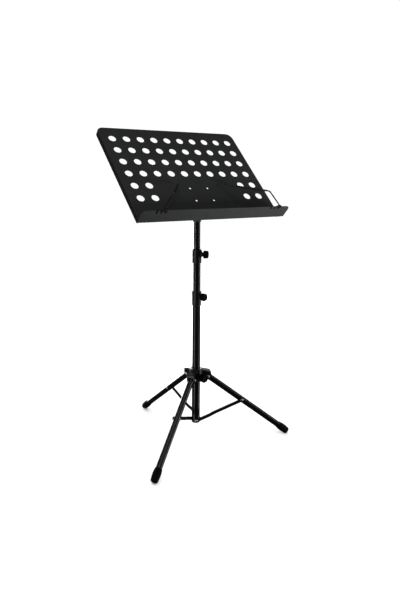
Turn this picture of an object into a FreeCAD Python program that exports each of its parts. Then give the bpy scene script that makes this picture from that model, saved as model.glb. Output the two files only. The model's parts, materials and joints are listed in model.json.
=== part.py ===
import FreeCAD, Part
import math
import os

# Folding music stand: tripod, three telescoping tubes, tilt head, punched desk.
# Millimetres, +Z up, +X along the desk, the player stands at -Y.
# The origin is on the pole's axis at floor level.

os.makedirs("parts", exist_ok=True)

# Telescoping tubes
TUBE_WALL = 1.2
LOWER_R = 12.7
LOWER_BOTTOM, LOWER_TOP = 58.0, 470.0
PLUG_CAP, PLUG_SPIGOT, PLUG_ROUND = 2.0, 1.8, 1.2
MIDDLE_R = 11.3
MIDDLE_BOTTOM, MIDDLE_TOP = 155.0, 600.0
UPPER_R = 9.9
UPPER_BOTTOM, UPPER_TOP = 240.0, 704.0
GLIDE_LENGTH = 14.0
GLIDE_FLANGE = 5.0
GLIDE_WALL = 2.5

# Clearances
RUN = 0.08
GAP = 0.3

# Clamp collars and their knobs
LOWER_COLLAR_R, LOWER_COLLAR_Z = 14.75, (435.0, 479.0)
UPPER_COLLAR_R, UPPER_COLLAR_Z = 14.0, (565.0, 606.0)
COLLAR_CHAMFER = 1.2
BUSH_LENGTH = 5.0
BOSS_R = 7.5
GUSSET_HEIGHT, GUSSET_HALF_WIDTH = 12.75, 4.0
SCREW_R = 3.0
INSERT_R = 4.5
PAD_R, PAD_LENGTH = 2.6, 1.5
SMALL_KNOB_R, SMALL_KNOB_LENGTH = 11.7, 14.0
KNOB_LOBES, KNOB_ROUND, KNOB_SINK = 7, 1.6, 1.8
KNOB_SCREW_SHORT = 4.0
LOWER_KNOB_AZ, LOWER_KNOB_Z, LOWER_BOSS_END, LOWER_KNOB_START = -84.0, 465.3, 23.5, 26.5
UPPER_KNOB_AZ, UPPER_KNOB_Z, UPPER_BOSS_END, UPPER_KNOB_START = -48.0, 591.0, 17.2, 20.7

# Tripod
LEG_AZIMUTHS = (-25.4, 94.6, -145.4)
LEG_R = 9.5
HUB_PIVOT_R, HUB_PIVOT_Z = 37.0, 209.0
RIVET_POINT_R, RIVET_POINT_Z = 145.5, 125.7
BRACE_PIVOT_Z = 64.5
BRACE_THICKNESS, BRACE_HEIGHT = 2.5, 11.0
BRACE_EYE_R = 6.0
JOGGLE_START, JOGGLE_END = 44.0, 62.0
PIN_R, PIN_HEAD_R, PIN_HEAD = 2.5, 4.0, 1.5
PIN_SEAT = math.sqrt((LOWER_R - TUBE_WALL) ** 2 - PIN_HEAD_R ** 2) - 0.2
LEG_BEYOND_PIVOT = 5.0
HUB_R, HUB_BOTTOM, HUB_TOP = 20.0, 194.0, 235.0
HUB_BUSH_R = 15.0
LUG_HALF_WIDTH, LUG_END_R, LUG_BOTTOM = 12.0, 46.0, 199.0
LUG_TOP_OUTER, LUG_LIP = 226.0, 2.0
SLOT_HALF_WIDTH, SLOT_INNER_R, SLOT_TOP = 9.8, 23.3, 222.8
LUG_APRON_BOTTOM = 217.6
HUB_BOSS_R, HUB_ROUND = 9.0, 1.5
HUB_KNOB_AZ, HUB_KNOB_Z, HUB_BOSS_END, HUB_KNOB_START = -85.4, 212.0, 28.5, 31.0
HUB_KNOB_R, HUB_KNOB_LENGTH = 13.0, 15.0

# Rubber feet
FOOT_LENGTH = 39.0
FOOT_MOUTH_R, FOOT_BELLY_R, FOOT_END_R = 11.0, 12.2, 10.5
FOOT_END_ROUND = 3.0
FOOT_END_WALL = 5.0
SOLE_FLAT_DEPTH = 1.0

# Tilt head
TILT_Z = 722.0
SOCKET_R, SOCKET_BOTTOM, SOCKET_TOP = 12.5, 687.0, 709.0
SOCKET_PIN_R, SOCKET_PIN_Z, SOCKET_ROUND = 1.5, 696.0, 1.5
TONGUE_HALF, TONGUE_R = 9.0, 11.0
WASHER_THICKNESS, WASHER_R = 1.5, 10.0
CHEEK_THICKNESS = 2.0
CHEEK_EYE_R = 12.0
TILT_KNOB_R, TILT_KNOB_LENGTH = 14.0, 15.0
BOLT_HEAD_R, BOLT_HEAD, BOLT_HEAD_ROUND, BOLT_BEYOND = 7.0, 4.0, 2.5, 12.0

# Desk sheet. Local frame: x along the desk, u up its slope, n out of its face.
DESK_TILT = 43.96
FOLD_Y, FOLD_Z = -94.7, 700.7
SHEET = 1.2
PLATE_HALF_WIDTH, PLATE_HEIGHT = 238.5, 362.7
CORNER_R = 22.0
RIM_DEPTH = 15.0
RIM_START = 7.0
RIM_ROUND = 2.0
LEDGE_HALF_WIDTH, LEDGE_DEPTH, LEDGE_CORNER_R = 248.0, 45.0, 14.0
BEND_R = 1.5
HOLE_R = 11.0
HOLE_PITCH_X, HOLE_PITCH_U, FIRST_ROW_U = 45.0, 46.35, 316.8
FULL_ROWS, PART_ROWS, COLUMNS = 4, 2, 10
PART_ROW_COLUMNS = (0, 1, 8, 9)
SPARE_HOLE_R = 2.9
SPARE_HOLES = ((30.0, 119.3), (30.0, 71.6))
BRACKET_HALF_WIDTH, BRACKET_U = 12.7, (12.0, 60.0)

# Page holders, in the desk's frame
CLIP_X = 190.0
RIGHT_EYE_X, LEFT_EYE_X = 196.0, 182.0
HOLDER_U, HOLDER_N = -5.0, 50.5
RIGHT_ARM = (
    (158.5, 24.0, 84.0), (127.0, 60.5, 57.0), (101.0, 91.5, 36.0), (84.0, 116.0, 21.5), (72.0, 139.0, 9.5),
)
LEFT_ARM = ((158.5, 24.0, 84.0), (73.0, 125.0, 9.5))
WIRE_R, WIRE_BEND_R = 1.9, 7.0
SLEEVE_R, SLEEVE_BORE_R = 2.5, 1.9
SLEEVE_TIP_R, SLEEVE_TIP_LENGTH = 3.0, 9.0
EYE_R, EYE_LENGTH = 3.4, 7.0
HOLDER_PIN_R, HOLDER_PIN_HEAD_R, HOLDER_PIN_HEAD = 1.2, 2.0, 0.6
CLIP_SHEET, CLIP_HALF_WIDTH, CLIP_LEAF = 0.8, 15.5, 14.0
PRONG_WIDTH, PRONG_LENGTH = 4.0, 11.0
EAR_THICKNESS, EAR_GAP = 2.0, 0.4
RISER_OFFSET = 5.0

# Long enough to cut right through any piece
THROUGH = 40.0

V = FreeCAD.Vector
X_AXIS = V(1, 0, 0)
Z_AXIS = V(0, 0, 1)


def cylinder(radius, start, direction, length):
    return Part.makeCylinder(radius, length, start, direction)


def ring(outer, inner, start, direction, length):
    bore_start = start - direction * 1.0
    return cylinder(outer, start, direction, length).cut(cylinder(inner, bore_start, direction, length + 2.0))


def box(x, y, z):
    return Part.makeBox(x[1] - x[0], y[1] - y[0], z[1] - z[0], V(x[0], y[0], z[0]))


def turn(shape, azimuth):
    """Turn a shape built along +X to an azimuth about the pole."""
    copy = shape.copy()
    copy.rotate(V(0, 0, 0), Z_AXIS, azimuth)
    return copy


def to_desk(shape):
    """Move a shape from the desk's local frame to its place on the stand."""
    copy = shape.copy()
    copy.rotate(V(0, 0, 0), X_AXIS, DESK_TILT)
    copy.translate(V(0, FOLD_Y, FOLD_Z))
    return copy


def mirror_x(shape):
    return shape.mirror(V(0, 0, 0), X_AXIS)


def export(shape, name):
    shape.exportStep("parts/" + name + ".step")


def group(shapes):
    return Part.makeCompound(shapes)


def vertical_tube(radius, bottom, top):
    return ring(radius, radius - TUBE_WALL, V(0, 0, bottom), Z_AXIS, top - bottom)


def rivet(start, direction, length, shank_r):
    """A domed rivet: a shank with a rounded head at each end."""
    shank = cylinder(shank_r, start, direction, length)
    first = domed_head(start, direction * -1.0)
    second = domed_head(start + direction * length, direction)
    return shank.fuse([first, second]).removeSplitter()


def domed_head(face, direction):
    head = cylinder(PIN_HEAD_R, face, direction, PIN_HEAD)
    rim = [edge for edge in head.Edges if is_far_circle(edge, face, direction)]
    return head.makeFillet(PIN_HEAD * 0.8, rim)


def is_far_circle(edge, face, direction):
    if not isinstance(edge.Curve, Part.Circle):
        return False
    return (edge.Curve.Center - face).dot(direction) > PIN_HEAD * 0.5


def lobed_knob(radius, length, axial_start, height, bore_r):
    """A lobed hand knob built along +X, with a sunk front face."""
    axis_point = V(axial_start, 0, height)
    body = cylinder(radius, axis_point, X_AXIS, length)
    rims = [edge for edge in body.Edges if isinstance(edge.Curve, Part.Circle)]
    body = body.makeFillet(KNOB_ROUND, rims)
    groove_r = radius * 0.26
    reach = radius + groove_r * 0.55
    grooves = []
    for index in range(KNOB_LOBES):
        angle = math.radians((index + 0.5) * 360.0 / KNOB_LOBES)
        centre = V(axial_start - 1.0, reach * math.cos(angle), height + reach * math.sin(angle))
        grooves.append(cylinder(groove_r, centre, X_AXIS, length + 2.0))
    sink = cylinder(radius * 0.55, V(axial_start + length - KNOB_SINK, 0, height), X_AXIS, 3.0)
    neck = cylinder(radius * 0.5, V(axial_start - 2.0, 0, height), X_AXIS, 3.0)
    bore = cylinder(bore_r, V(axial_start - 3.0, 0, height), X_AXIS, length - 1.0)
    return body.cut(grooves).cut(sink).fuse(neck).cut(bore).removeSplitter()


def clamp_screw(pad_end, knob_start, knob_length, height):
    length = knob_start + knob_length - KNOB_SCREW_SHORT - pad_end
    shank = cylinder(SCREW_R, V(pad_end, 0, height), X_AXIS, length)
    return shank.makeChamfer(0.6, [shank.Edges[0], shank.Edges[2]])


def clamp_collar(outer_r, bore_r, span, knob_z, boss_end, top_bore_r):
    """A moulded collar built with its screw boss along +X."""
    bottom, top = span
    body = cylinder(outer_r, V(0, 0, bottom), Z_AXIS, top - bottom)
    rims = [edge for edge in body.Edges if isinstance(edge.Curve, Part.Circle)]
    body = body.makeChamfer(COLLAR_CHAMFER, rims)
    boss = cylinder(BOSS_R, V(0, 0, knob_z), X_AXIS, boss_end)
    body = body.fuse([boss, gusset(boss_end - 1.5, knob_z, GUSSET_HEIGHT)]).removeSplitter()
    seat = top - BUSH_LENGTH - 1.0
    bore = cylinder(bore_r, V(0, 0, bottom - 1.0), Z_AXIS, seat + BUSH_LENGTH - bottom + 1.0)
    mouth = cylinder(top_bore_r, V(0, 0, bottom - 1.0), Z_AXIS, top - bottom + 2.0)
    screw_way = cylinder(INSERT_R, V(0, 0, knob_z), X_AXIS, boss_end + 5.0)
    return body.cut([bore, mouth, screw_way])


def gusset(reach, knob_z, height):
    """A rib that runs down from the collar's top to the screw boss."""
    side = -GUSSET_HALF_WIDTH
    corners = [V(0, side, knob_z), V(reach, side, knob_z), V(8.0, side, knob_z + height), V(0, side, knob_z)]
    return Part.Face(Part.makePolygon(corners)).extrude(V(0, 2.0 * GUSSET_HALF_WIDTH, 0))


def threaded_insert(start, end, height):
    return ring(INSERT_R, SCREW_R + RUN, V(start, 0, height), X_AXIS, end - start)


def pad(start, height):
    return cylinder(PAD_R, V(start, 0, height), X_AXIS, PAD_LENGTH)


def tube_glide(tube_r, outer_r, tube_bottom, spigot_gap):
    """A nylon guide at a tube's lower end: a flange under it and a spigot inside it."""
    inner = tube_r - TUBE_WALL
    flange = cylinder(outer_r, V(0, 0, tube_bottom - GLIDE_FLANGE), Z_AXIS, GLIDE_FLANGE)
    spigot = cylinder(inner - spigot_gap, V(0, 0, tube_bottom), Z_AXIS, GLIDE_LENGTH)
    bore_start = V(0, 0, tube_bottom - GLIDE_FLANGE - 1.0)
    bore = cylinder(inner - GLIDE_WALL, bore_start, Z_AXIS, GLIDE_LENGTH + GLIDE_FLANGE + 2.0)
    return flange.fuse(spigot).cut(bore).removeSplitter()


# Tripod geometry in a leg's own frame: X outwards, Y across the leg, Z up
LEG_ANGLE = math.atan2(RIVET_POINT_R - HUB_PIVOT_R, HUB_PIVOT_Z - RIVET_POINT_Z)
LEG_DIRECTION = V(math.sin(LEG_ANGLE), 0, -math.cos(LEG_ANGLE))
LEG_UNDER = V(-math.cos(LEG_ANGLE), 0, -math.sin(LEG_ANGLE))
HUB_PIVOT = V(HUB_PIVOT_R, 0, HUB_PIVOT_Z)
RIVET_POINT = V(RIVET_POINT_R, 0, RIVET_POINT_Z)
BRACE_PIVOT = V(0, 0, BRACE_PIVOT_Z)
ACROSS = V(0, 1, 0)
SOLE_CENTRE_DROP = (FOOT_END_R - FOOT_END_ROUND) * math.sin(LEG_ANGLE) + FOOT_END_ROUND
FOOT_REACH = (HUB_PIVOT_Z + SOLE_FLAT_DEPTH - SOLE_CENTRE_DROP) / math.cos(LEG_ANGLE) + FOOT_END_ROUND
LEG_END = FOOT_REACH - FOOT_END_WALL
POLE_SIDE = LOWER_R + 0.4
LEG_SIDE = LEG_R + 0.4


def leg_tube():
    start = HUB_PIVOT - LEG_DIRECTION * LEG_BEYOND_PIVOT
    tube = ring(LEG_R, LEG_R - TUBE_WALL, start, LEG_DIRECTION, LEG_END + LEG_BEYOND_PIVOT)
    hub_hole = cylinder(PIN_R + RUN, HUB_PIVOT - ACROSS * (THROUGH / 2.0), ACROSS, THROUGH)
    brace_hole = cylinder(PIN_R, RIVET_POINT - ACROSS * (THROUGH / 2.0), ACROSS, THROUGH)
    return tube.cut([hub_hole, brace_hole])


def foot_point(along, radius):
    return HUB_PIVOT + LEG_DIRECTION * along + LEG_UNDER * radius


def foot():
    """A barrel-shaped rubber boot with a flat sole facet that lies on the floor."""
    mouth, end = FOOT_REACH - FOOT_LENGTH, FOOT_REACH
    belly = mouth + FOOT_LENGTH * 0.5
    side = Part.Arc(
        foot_point(mouth + 1.5, FOOT_MOUTH_R),
        foot_point(belly, FOOT_BELLY_R),
        foot_point(end - FOOT_END_ROUND, FOOT_END_R),
    )
    corner_mid = math.sqrt(0.5) * FOOT_END_ROUND
    corner = Part.Arc(
        foot_point(end - FOOT_END_ROUND, FOOT_END_R),
        foot_point(end - FOOT_END_ROUND + corner_mid, FOOT_END_R - FOOT_END_ROUND + corner_mid),
        foot_point(end, FOOT_END_R - FOOT_END_ROUND),
    )
    edges = [
        Part.makeLine(foot_point(mouth, LEG_R), foot_point(mouth, FOOT_MOUTH_R - 0.6)),
        Part.makeLine(foot_point(mouth, FOOT_MOUTH_R - 0.6), foot_point(mouth + 1.5, FOOT_MOUTH_R)),
        side.toShape(),
        corner.toShape(),
        Part.makeLine(foot_point(end, FOOT_END_R - FOOT_END_ROUND), foot_point(end, 0)),
        Part.makeLine(foot_point(end, 0), foot_point(LEG_END, 0)),
        Part.makeLine(foot_point(LEG_END, 0), foot_point(LEG_END, LEG_R)),
        Part.makeLine(foot_point(LEG_END, LEG_R), foot_point(mouth, LEG_R)),
    ]
    boot = Part.Face(Part.Wire(edges)).revolve(HUB_PIVOT, LEG_DIRECTION, 360)
    below_floor = box((0, FOOT_REACH), (-THROUGH, THROUGH), (-THROUGH, 0))
    return boot.cut(below_floor)


def leg_rivet():
    """The half of the brace rivet that stays in the leg."""
    inner_end = -LEG_R + 0.2
    shank = cylinder(PIN_R, RIVET_POINT + ACROSS * inner_end, ACROSS, LEG_R - inner_end)
    head = domed_head(RIVET_POINT + ACROSS * (LEG_R - 0.5), ACROSS)
    through = cylinder(PIN_R, RIVET_POINT - ACROSS * (THROUGH / 2.0), ACROSS, THROUGH)
    leg_round = cylinder(LEG_R, HUB_PIVOT, LEG_DIRECTION, LEG_END).cut(through)
    return shank.fuse(head).cut(leg_round)


def brace():
    """A flat strip with a joggle, from the side of the pole to the side of the leg."""
    length = (RIVET_POINT - BRACE_PIVOT).Length
    points = [
        (-BRACE_EYE_R, POLE_SIDE), (JOGGLE_START, POLE_SIDE),
        (JOGGLE_END, LEG_SIDE), (length + BRACE_EYE_R, LEG_SIDE),
    ]
    near = [V(along, -side, 0) for along, side in points]
    far = [V(along, -side - BRACE_THICKNESS, 0) for along, side in reversed(points)]
    outline = Part.makePolygon(near + far + [near[0]])
    strip = Part.Face(outline).extrude(V(0, 0, 2.0 * BRACE_EYE_R))
    strip.translate(V(0, 0, -BRACE_EYE_R))
    half = BRACE_HEIGHT / 2.0
    band = box((0, length), (-THROUGH, 0), (-half, half))
    eyes = [cylinder(BRACE_EYE_R, V(along, -THROUGH, 0), ACROSS, THROUGH) for along in (0, length)]
    holes = [
        cylinder(PIN_R + RUN, V(0, -THROUGH, 0), ACROSS, THROUGH),
        cylinder(PIN_R, V(length, -THROUGH, 0), ACROSS, THROUGH),
    ]
    strip = strip.common(band.fuse(eyes)).cut(holes).removeSplitter()
    rise = math.degrees(math.atan2(RIVET_POINT_Z - BRACE_PIVOT_Z, RIVET_POINT_R))
    strip.rotate(V(0, 0, 0), ACROSS, -rise)
    strip.translate(BRACE_PIVOT)
    return strip


def brace_rivet():
    """The half of the brace rivet that turns with the brace."""
    inner = RIVET_POINT - ACROSS * LEG_SIDE
    shank = cylinder(PIN_R, inner, ACROSS * -1.0, BRACE_THICKNESS)
    head = domed_head(inner - ACROSS * BRACE_THICKNESS, ACROSS * -1.0)
    return shank.fuse(head).removeSplitter()


def brace_pivot_pin():
    """A rivet through the pole's wall that carries a brace."""
    length = POLE_SIDE + BRACE_THICKNESS + 0.2 - PIN_SEAT
    return rivet(BRACE_PIVOT - ACROSS * PIN_SEAT, ACROSS * -1.0, length, PIN_R)


def hub_pivot_pin():
    length = 2.0 * LUG_HALF_WIDTH
    return rivet(HUB_PIVOT - ACROSS * LUG_HALF_WIDTH, ACROSS, length, PIN_R)


def hub_lug():
    """One lug of the hub, with the slot that the leg swings in."""
    crown = HUB_TOP - HUB_ROUND
    roof = [
        V(0, 0, LUG_BOTTOM), V(LUG_END_R - 3.0, 0, LUG_BOTTOM), V(LUG_END_R, 0, LUG_BOTTOM + 4.0),
        V(LUG_END_R, 0, LUG_TOP_OUTER - 3.0), V(LUG_END_R - 3.0, 0, LUG_TOP_OUTER), V(16.0, 0, crown),
        V(0, 0, crown), V(0, 0, LUG_BOTTOM),
    ]
    lug = Part.Face(Part.makePolygon(roof)).extrude(V(0, 2.0 * LUG_HALF_WIDTH, 0))
    lug.translate(V(0, -LUG_HALF_WIDTH, 0))
    return lug


def hub_slot():
    """The way a leg swings in, open below and, under the outer lip, at its end."""
    width, below = (-SLOT_HALF_WIDTH, SLOT_HALF_WIDTH), LUG_BOTTOM - THROUGH
    way = box((SLOT_INNER_R, LUG_END_R - LUG_LIP), width, (below, SLOT_TOP))
    mouth = box((SLOT_INNER_R, LUG_END_R + THROUGH), width, (below, LUG_APRON_BOTTOM))
    pin = cylinder(PIN_R, HUB_PIVOT - ACROSS * (THROUGH / 2.0), ACROSS, THROUGH)
    return way.fuse([mouth, pin])


def tripod_hub():
    core = cylinder(HUB_R, V(0, 0, HUB_BOTTOM), Z_AXIS, HUB_TOP - HUB_BOTTOM)
    rims = [edge for edge in core.Edges if isinstance(edge.Curve, Part.Circle)]
    core = core.makeFillet(HUB_ROUND, rims)
    lugs = [turn(hub_lug(), azimuth) for azimuth in LEG_AZIMUTHS]
    boss = turn(cylinder(HUB_BOSS_R, V(0, 0, HUB_KNOB_Z), X_AXIS, HUB_BOSS_END), HUB_KNOB_AZ)
    body = core.fuse(lugs + [boss]).removeSplitter()
    bore = cylinder(HUB_BUSH_R, V(0, 0, HUB_BOTTOM - 1.0), Z_AXIS, HUB_TOP - HUB_BOTTOM + 2.0)
    slots = [turn(hub_slot(), azimuth) for azimuth in LEG_AZIMUTHS]
    screw_way = turn(cylinder(INSERT_R, V(0, 0, HUB_KNOB_Z), X_AXIS, HUB_BOSS_END + 5.0), HUB_KNOB_AZ)
    return body.cut([bore, screw_way] + slots)


def hub_bush():
    liner = ring(HUB_BUSH_R, LOWER_R + RUN, V(0, 0, HUB_BOTTOM + 1.0), Z_AXIS, HUB_TOP - HUB_BOTTOM - 2.0)
    return liner.cut(turn(cylinder(PAD_R + 0.1, V(0, 0, HUB_KNOB_Z), X_AXIS, THROUGH), HUB_KNOB_AZ))


def tilt_socket():
    """The head: a sleeve over the upper tube with a flat tongue on top."""
    sleeve = cylinder(SOCKET_R, V(0, 0, SOCKET_BOTTOM), Z_AXIS, SOCKET_TOP - SOCKET_BOTTOM)
    rims = [edge for edge in sleeve.Edges if isinstance(edge.Curve, Part.Circle)]
    sleeve = sleeve.makeFillet(SOCKET_ROUND, rims)
    depth = TONGUE_R - SOCKET_ROUND
    tongue = box((-TONGUE_HALF, TONGUE_HALF), (-depth, depth), (SOCKET_TOP - 6.0, TILT_Z))
    eye = cylinder(TONGUE_R, V(-TONGUE_HALF, 0, TILT_Z), X_AXIS, 2.0 * TONGUE_HALF)
    body = sleeve.fuse([tongue, eye]).removeSplitter()
    bore = cylinder(UPPER_R, V(0, 0, SOCKET_BOTTOM - 1.0), Z_AXIS, UPPER_TOP - SOCKET_BOTTOM + 1.0)
    bolt_hole = cylinder(SCREW_R + RUN, V(-THROUGH, 0, TILT_Z), X_AXIS, 2.0 * THROUGH)
    pin_hole = cylinder(SOCKET_PIN_R, V(0, -THROUGH, SOCKET_PIN_Z), ACROSS, 2.0 * THROUGH)
    return body.cut([bore, bolt_hole, pin_hole])


def desk_outline(inset, bottom):
    half = PLATE_HALF_WIDTH - inset
    top = PLATE_HEIGHT - inset
    corner = CORNER_R - inset
    bend = corner * (1.0 - math.sqrt(0.5))
    shoulder, inset_x = top - corner, half - corner
    edges = [
        Part.makeLine(V(-half, bottom, 0), V(half, bottom, 0)),
        Part.makeLine(V(half, bottom, 0), V(half, shoulder, 0)),
        Part.Arc(V(half, shoulder, 0), V(half - bend, top - bend, 0), V(inset_x, top, 0)).toShape(),
        Part.makeLine(V(inset_x, top, 0), V(-inset_x, top, 0)),
        Part.Arc(V(-inset_x, top, 0), V(bend - half, top - bend, 0), V(-half, shoulder, 0)).toShape(),
        Part.makeLine(V(-half, shoulder, 0), V(-half, bottom, 0)),
    ]
    return Part.Face(Part.Wire(edges))


def desk_tray():
    """The sloping sheet with its rim turned back on the sides and the top."""
    outer = desk_outline(0.0, RIM_START).extrude(V(0, 0, -RIM_DEPTH))
    front = [edge for edge in outer.Edges if is_front_rim(edge)]
    outer = outer.makeFillet(RIM_ROUND, front)
    inner = desk_outline(SHEET, RIM_START - 5.0).extrude(V(0, 0, -RIM_DEPTH))
    inner.translate(V(0, 0, -SHEET))
    return outer.cut(inner)


def is_front_rim(edge):
    centre = edge.CenterOfMass
    return abs(centre.z) < 0.01 and centre.y > RIM_START + 0.01


def ledge_sheet():
    """The book ledge: wider than the sheet above it, with rounded front corners."""
    half, front, corner = LEDGE_HALF_WIDTH, LEDGE_DEPTH, LEDGE_CORNER_R
    bend = corner * (1.0 - math.sqrt(0.5))
    start, shoulder, inset_x = BEND_R, front - corner, half - corner
    edges = [
        Part.makeLine(V(-half, 0, start), V(half, 0, start)),
        Part.makeLine(V(half, 0, start), V(half, 0, shoulder)),
        Part.Arc(V(half, 0, shoulder), V(half - bend, 0, front - bend), V(inset_x, 0, front)).toShape(),
        Part.makeLine(V(inset_x, 0, front), V(-inset_x, 0, front)),
        Part.Arc(V(-inset_x, 0, front), V(bend - half, 0, front - bend), V(-half, 0, shoulder)).toShape(),
        Part.makeLine(V(-half, 0, shoulder), V(-half, 0, start)),
    ]
    return Part.Face(Part.Wire(edges)).extrude(V(0, -SHEET, 0))


def fold():
    """The bend between the ledge and the sloping sheet."""
    half = PLATE_HALF_WIDTH
    centre = V(-half, BEND_R, BEND_R)
    bend = ring(BEND_R + SHEET, BEND_R, centre, X_AXIS, 2.0 * half)
    quarter = box((-half, half), (-SHEET, BEND_R), (-SHEET, BEND_R))
    strip = box((-half, half), (BEND_R, RIM_START + 1.0), (-SHEET, 0))
    return bend.common(quarter).fuse(strip)


def hole_centres():
    centres = []
    for row in range(FULL_ROWS + PART_ROWS):
        for column in range(COLUMNS):
            if row >= FULL_ROWS and column not in PART_ROW_COLUMNS:
                continue
            centres.append(((column - (COLUMNS - 1) / 2.0) * HOLE_PITCH_X, FIRST_ROW_U - row * HOLE_PITCH_U))
    return centres


def desk_panel():
    sheet = desk_tray().fuse([fold(), ledge_sheet()]).removeSplitter()
    punches = [cylinder(HOLE_R, V(x, u, -5.0), Z_AXIS, 10.0) for x, u in hole_centres()]
    for x, u in SPARE_HOLES:
        punches.append(cylinder(SPARE_HOLE_R, V(x, u, -5.0), Z_AXIS, 10.0))
        punches.append(cylinder(SPARE_HOLE_R, V(-x, u, -5.0), Z_AXIS, 10.0))
    return to_desk(sheet.cut(punches))


def tilt_point():
    """The tilt axis in the desk's local frame, as (u, n)."""
    rise = math.radians(DESK_TILT)
    back, up = -FOLD_Y, TILT_Z - FOLD_Z
    return back * math.cos(rise) + up * math.sin(rise), up * math.cos(rise) - back * math.sin(rise)


def desk_bracket():
    """A channel welded to the sheet's back, with two cheeks that hold the tilt bolt."""
    u_axis, n_axis = tilt_point()
    low, high = BRACKET_U
    face = -SHEET
    base = box((-BRACKET_HALF_WIDTH, BRACKET_HALF_WIDTH), (low, high), (face - CHEEK_THICKNESS, face))
    outline = [
        V(0, low, face), V(0, high, face), V(0, u_axis + 6.0, n_axis + 10.4),
        V(0, u_axis - CHEEK_EYE_R, n_axis), V(0, low, face),
    ]
    side = Part.Face(Part.makePolygon(outline)).extrude(V(CHEEK_THICKNESS, 0, 0))
    eye = cylinder(CHEEK_EYE_R, V(0, u_axis, n_axis), X_AXIS, CHEEK_THICKNESS)
    cheek = side.fuse(eye)
    right, left = cheek.copy(), cheek.copy()
    right.translate(V(BRACKET_HALF_WIDTH - CHEEK_THICKNESS, 0, 0))
    left.translate(V(-BRACKET_HALF_WIDTH, 0, 0))
    bolt_hole = cylinder(SCREW_R, V(-THROUGH, u_axis, n_axis), X_AXIS, 2.0 * THROUGH)
    return to_desk(base.fuse([right, left]).cut(bolt_hole).removeSplitter())


def friction_washer(inner_face, direction):
    return ring(WASHER_R, SCREW_R, V(inner_face, 0, TILT_Z), direction, WASHER_THICKNESS)


def tilt_bolt():
    head_face = -BRACKET_HALF_WIDTH
    shank = cylinder(SCREW_R, V(head_face, 0, TILT_Z), X_AXIS, 2.0 * BRACKET_HALF_WIDTH + BOLT_BEYOND)
    head = cylinder(BOLT_HEAD_R, V(head_face, 0, TILT_Z), X_AXIS * -1.0, BOLT_HEAD)
    circles = [edge for edge in head.Edges if isinstance(edge.Curve, Part.Circle)]
    rim = [edge for edge in circles if edge.Curve.Center.x < head_face - 1.0]
    return shank.fuse(head.makeFillet(BOLT_HEAD_ROUND, rim)).removeSplitter()


def tilt_knob():
    start = BRACKET_HALF_WIDTH + GAP + 2.0
    return lobed_knob(TILT_KNOB_R, TILT_KNOB_LENGTH, start, TILT_Z, INSERT_R)


def tilt_knob_insert():
    start = BRACKET_HALF_WIDTH + GAP
    return ring(INSERT_R, SCREW_R + RUN, V(start, 0, TILT_Z), X_AXIS, TILT_KNOB_LENGTH - 2.0)


def round_wire(points, radius, bend_r):
    """A round wire through points, with its corners bent to a radius."""
    solids = []
    start = points[0]
    for corner, following in zip(points[1:], points[2:]):
        before = (corner - start).normalize()
        after = (following - corner).normalize()
        half_turn = before.getAngle(after) / 2.0
        setback = bend_r * math.tan(half_turn)
        entry, leave = corner - before * setback, corner + after * setback
        solids.append(cylinder(radius, start, before, (entry - start).Length))
        inward = (after - before).normalize()
        centre = corner + inward * (bend_r / math.cos(half_turn))
        middle = centre - inward * bend_r
        path = Part.Wire([Part.Arc(entry, middle, leave).toShape()])
        circle = Part.Wire([Part.makeCircle(radius, entry, before)])
        solids.append(path.makePipeShell([circle], True, True))
        start = leave
    last = points[-1] - start
    end = cylinder(radius, start, V(last).normalize(), last.Length)
    return end.fuse(solids).removeSplitter() if solids else end


def arm_points(arm):
    return [V(x, u, n) for x, u, n in arm]


def page_wire(eye_x, arm):
    """One bent wire: an eye round the clip's pin, a short riser and a long arm."""
    pivot = V(eye_x, HOLDER_U, HOLDER_N)
    eye_start = pivot + X_AXIS * 1.0
    eye = ring(EYE_R, HOLDER_PIN_R + RUN, eye_start, X_AXIS, EYE_LENGTH - 1.0)
    riser_direction = (arm_points(arm)[0] - pivot).normalize()
    riser_start = eye_start + X_AXIS * RISER_OFFSET + riser_direction * 2.0
    wire = round_wire([riser_start] + arm_points(arm), WIRE_R, WIRE_BEND_R)
    pin_way = cylinder(HOLDER_PIN_R + RUN, pivot - X_AXIS * (THROUGH / 2.0), X_AXIS, THROUGH)
    return eye.fuse(wire).cut(pin_way).removeSplitter()


def page_sleeve(arm):
    """A soft sleeve over the arm, with a thicker tip."""
    points = arm_points(arm)
    first = points[0] + (points[1] - points[0]).normalize() * 9.0
    end_direction = (points[-1] - points[-2]).normalize()
    end = points[-1] + end_direction * 2.0
    skin = round_wire([first] + points[1:-1] + [end], SLEEVE_R, 9.0)
    tip = cylinder(SLEEVE_TIP_R, end - end_direction * SLEEVE_TIP_LENGTH, end_direction, SLEEVE_TIP_LENGTH)
    rims = [edge for edge in tip.Edges if isinstance(edge.Curve, Part.Circle)]
    tip = tip.makeFillet(1.2, rims)
    core = round_wire(points, SLEEVE_BORE_R, WIRE_BEND_R)
    return skin.fuse(tip).cut(core)


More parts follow.
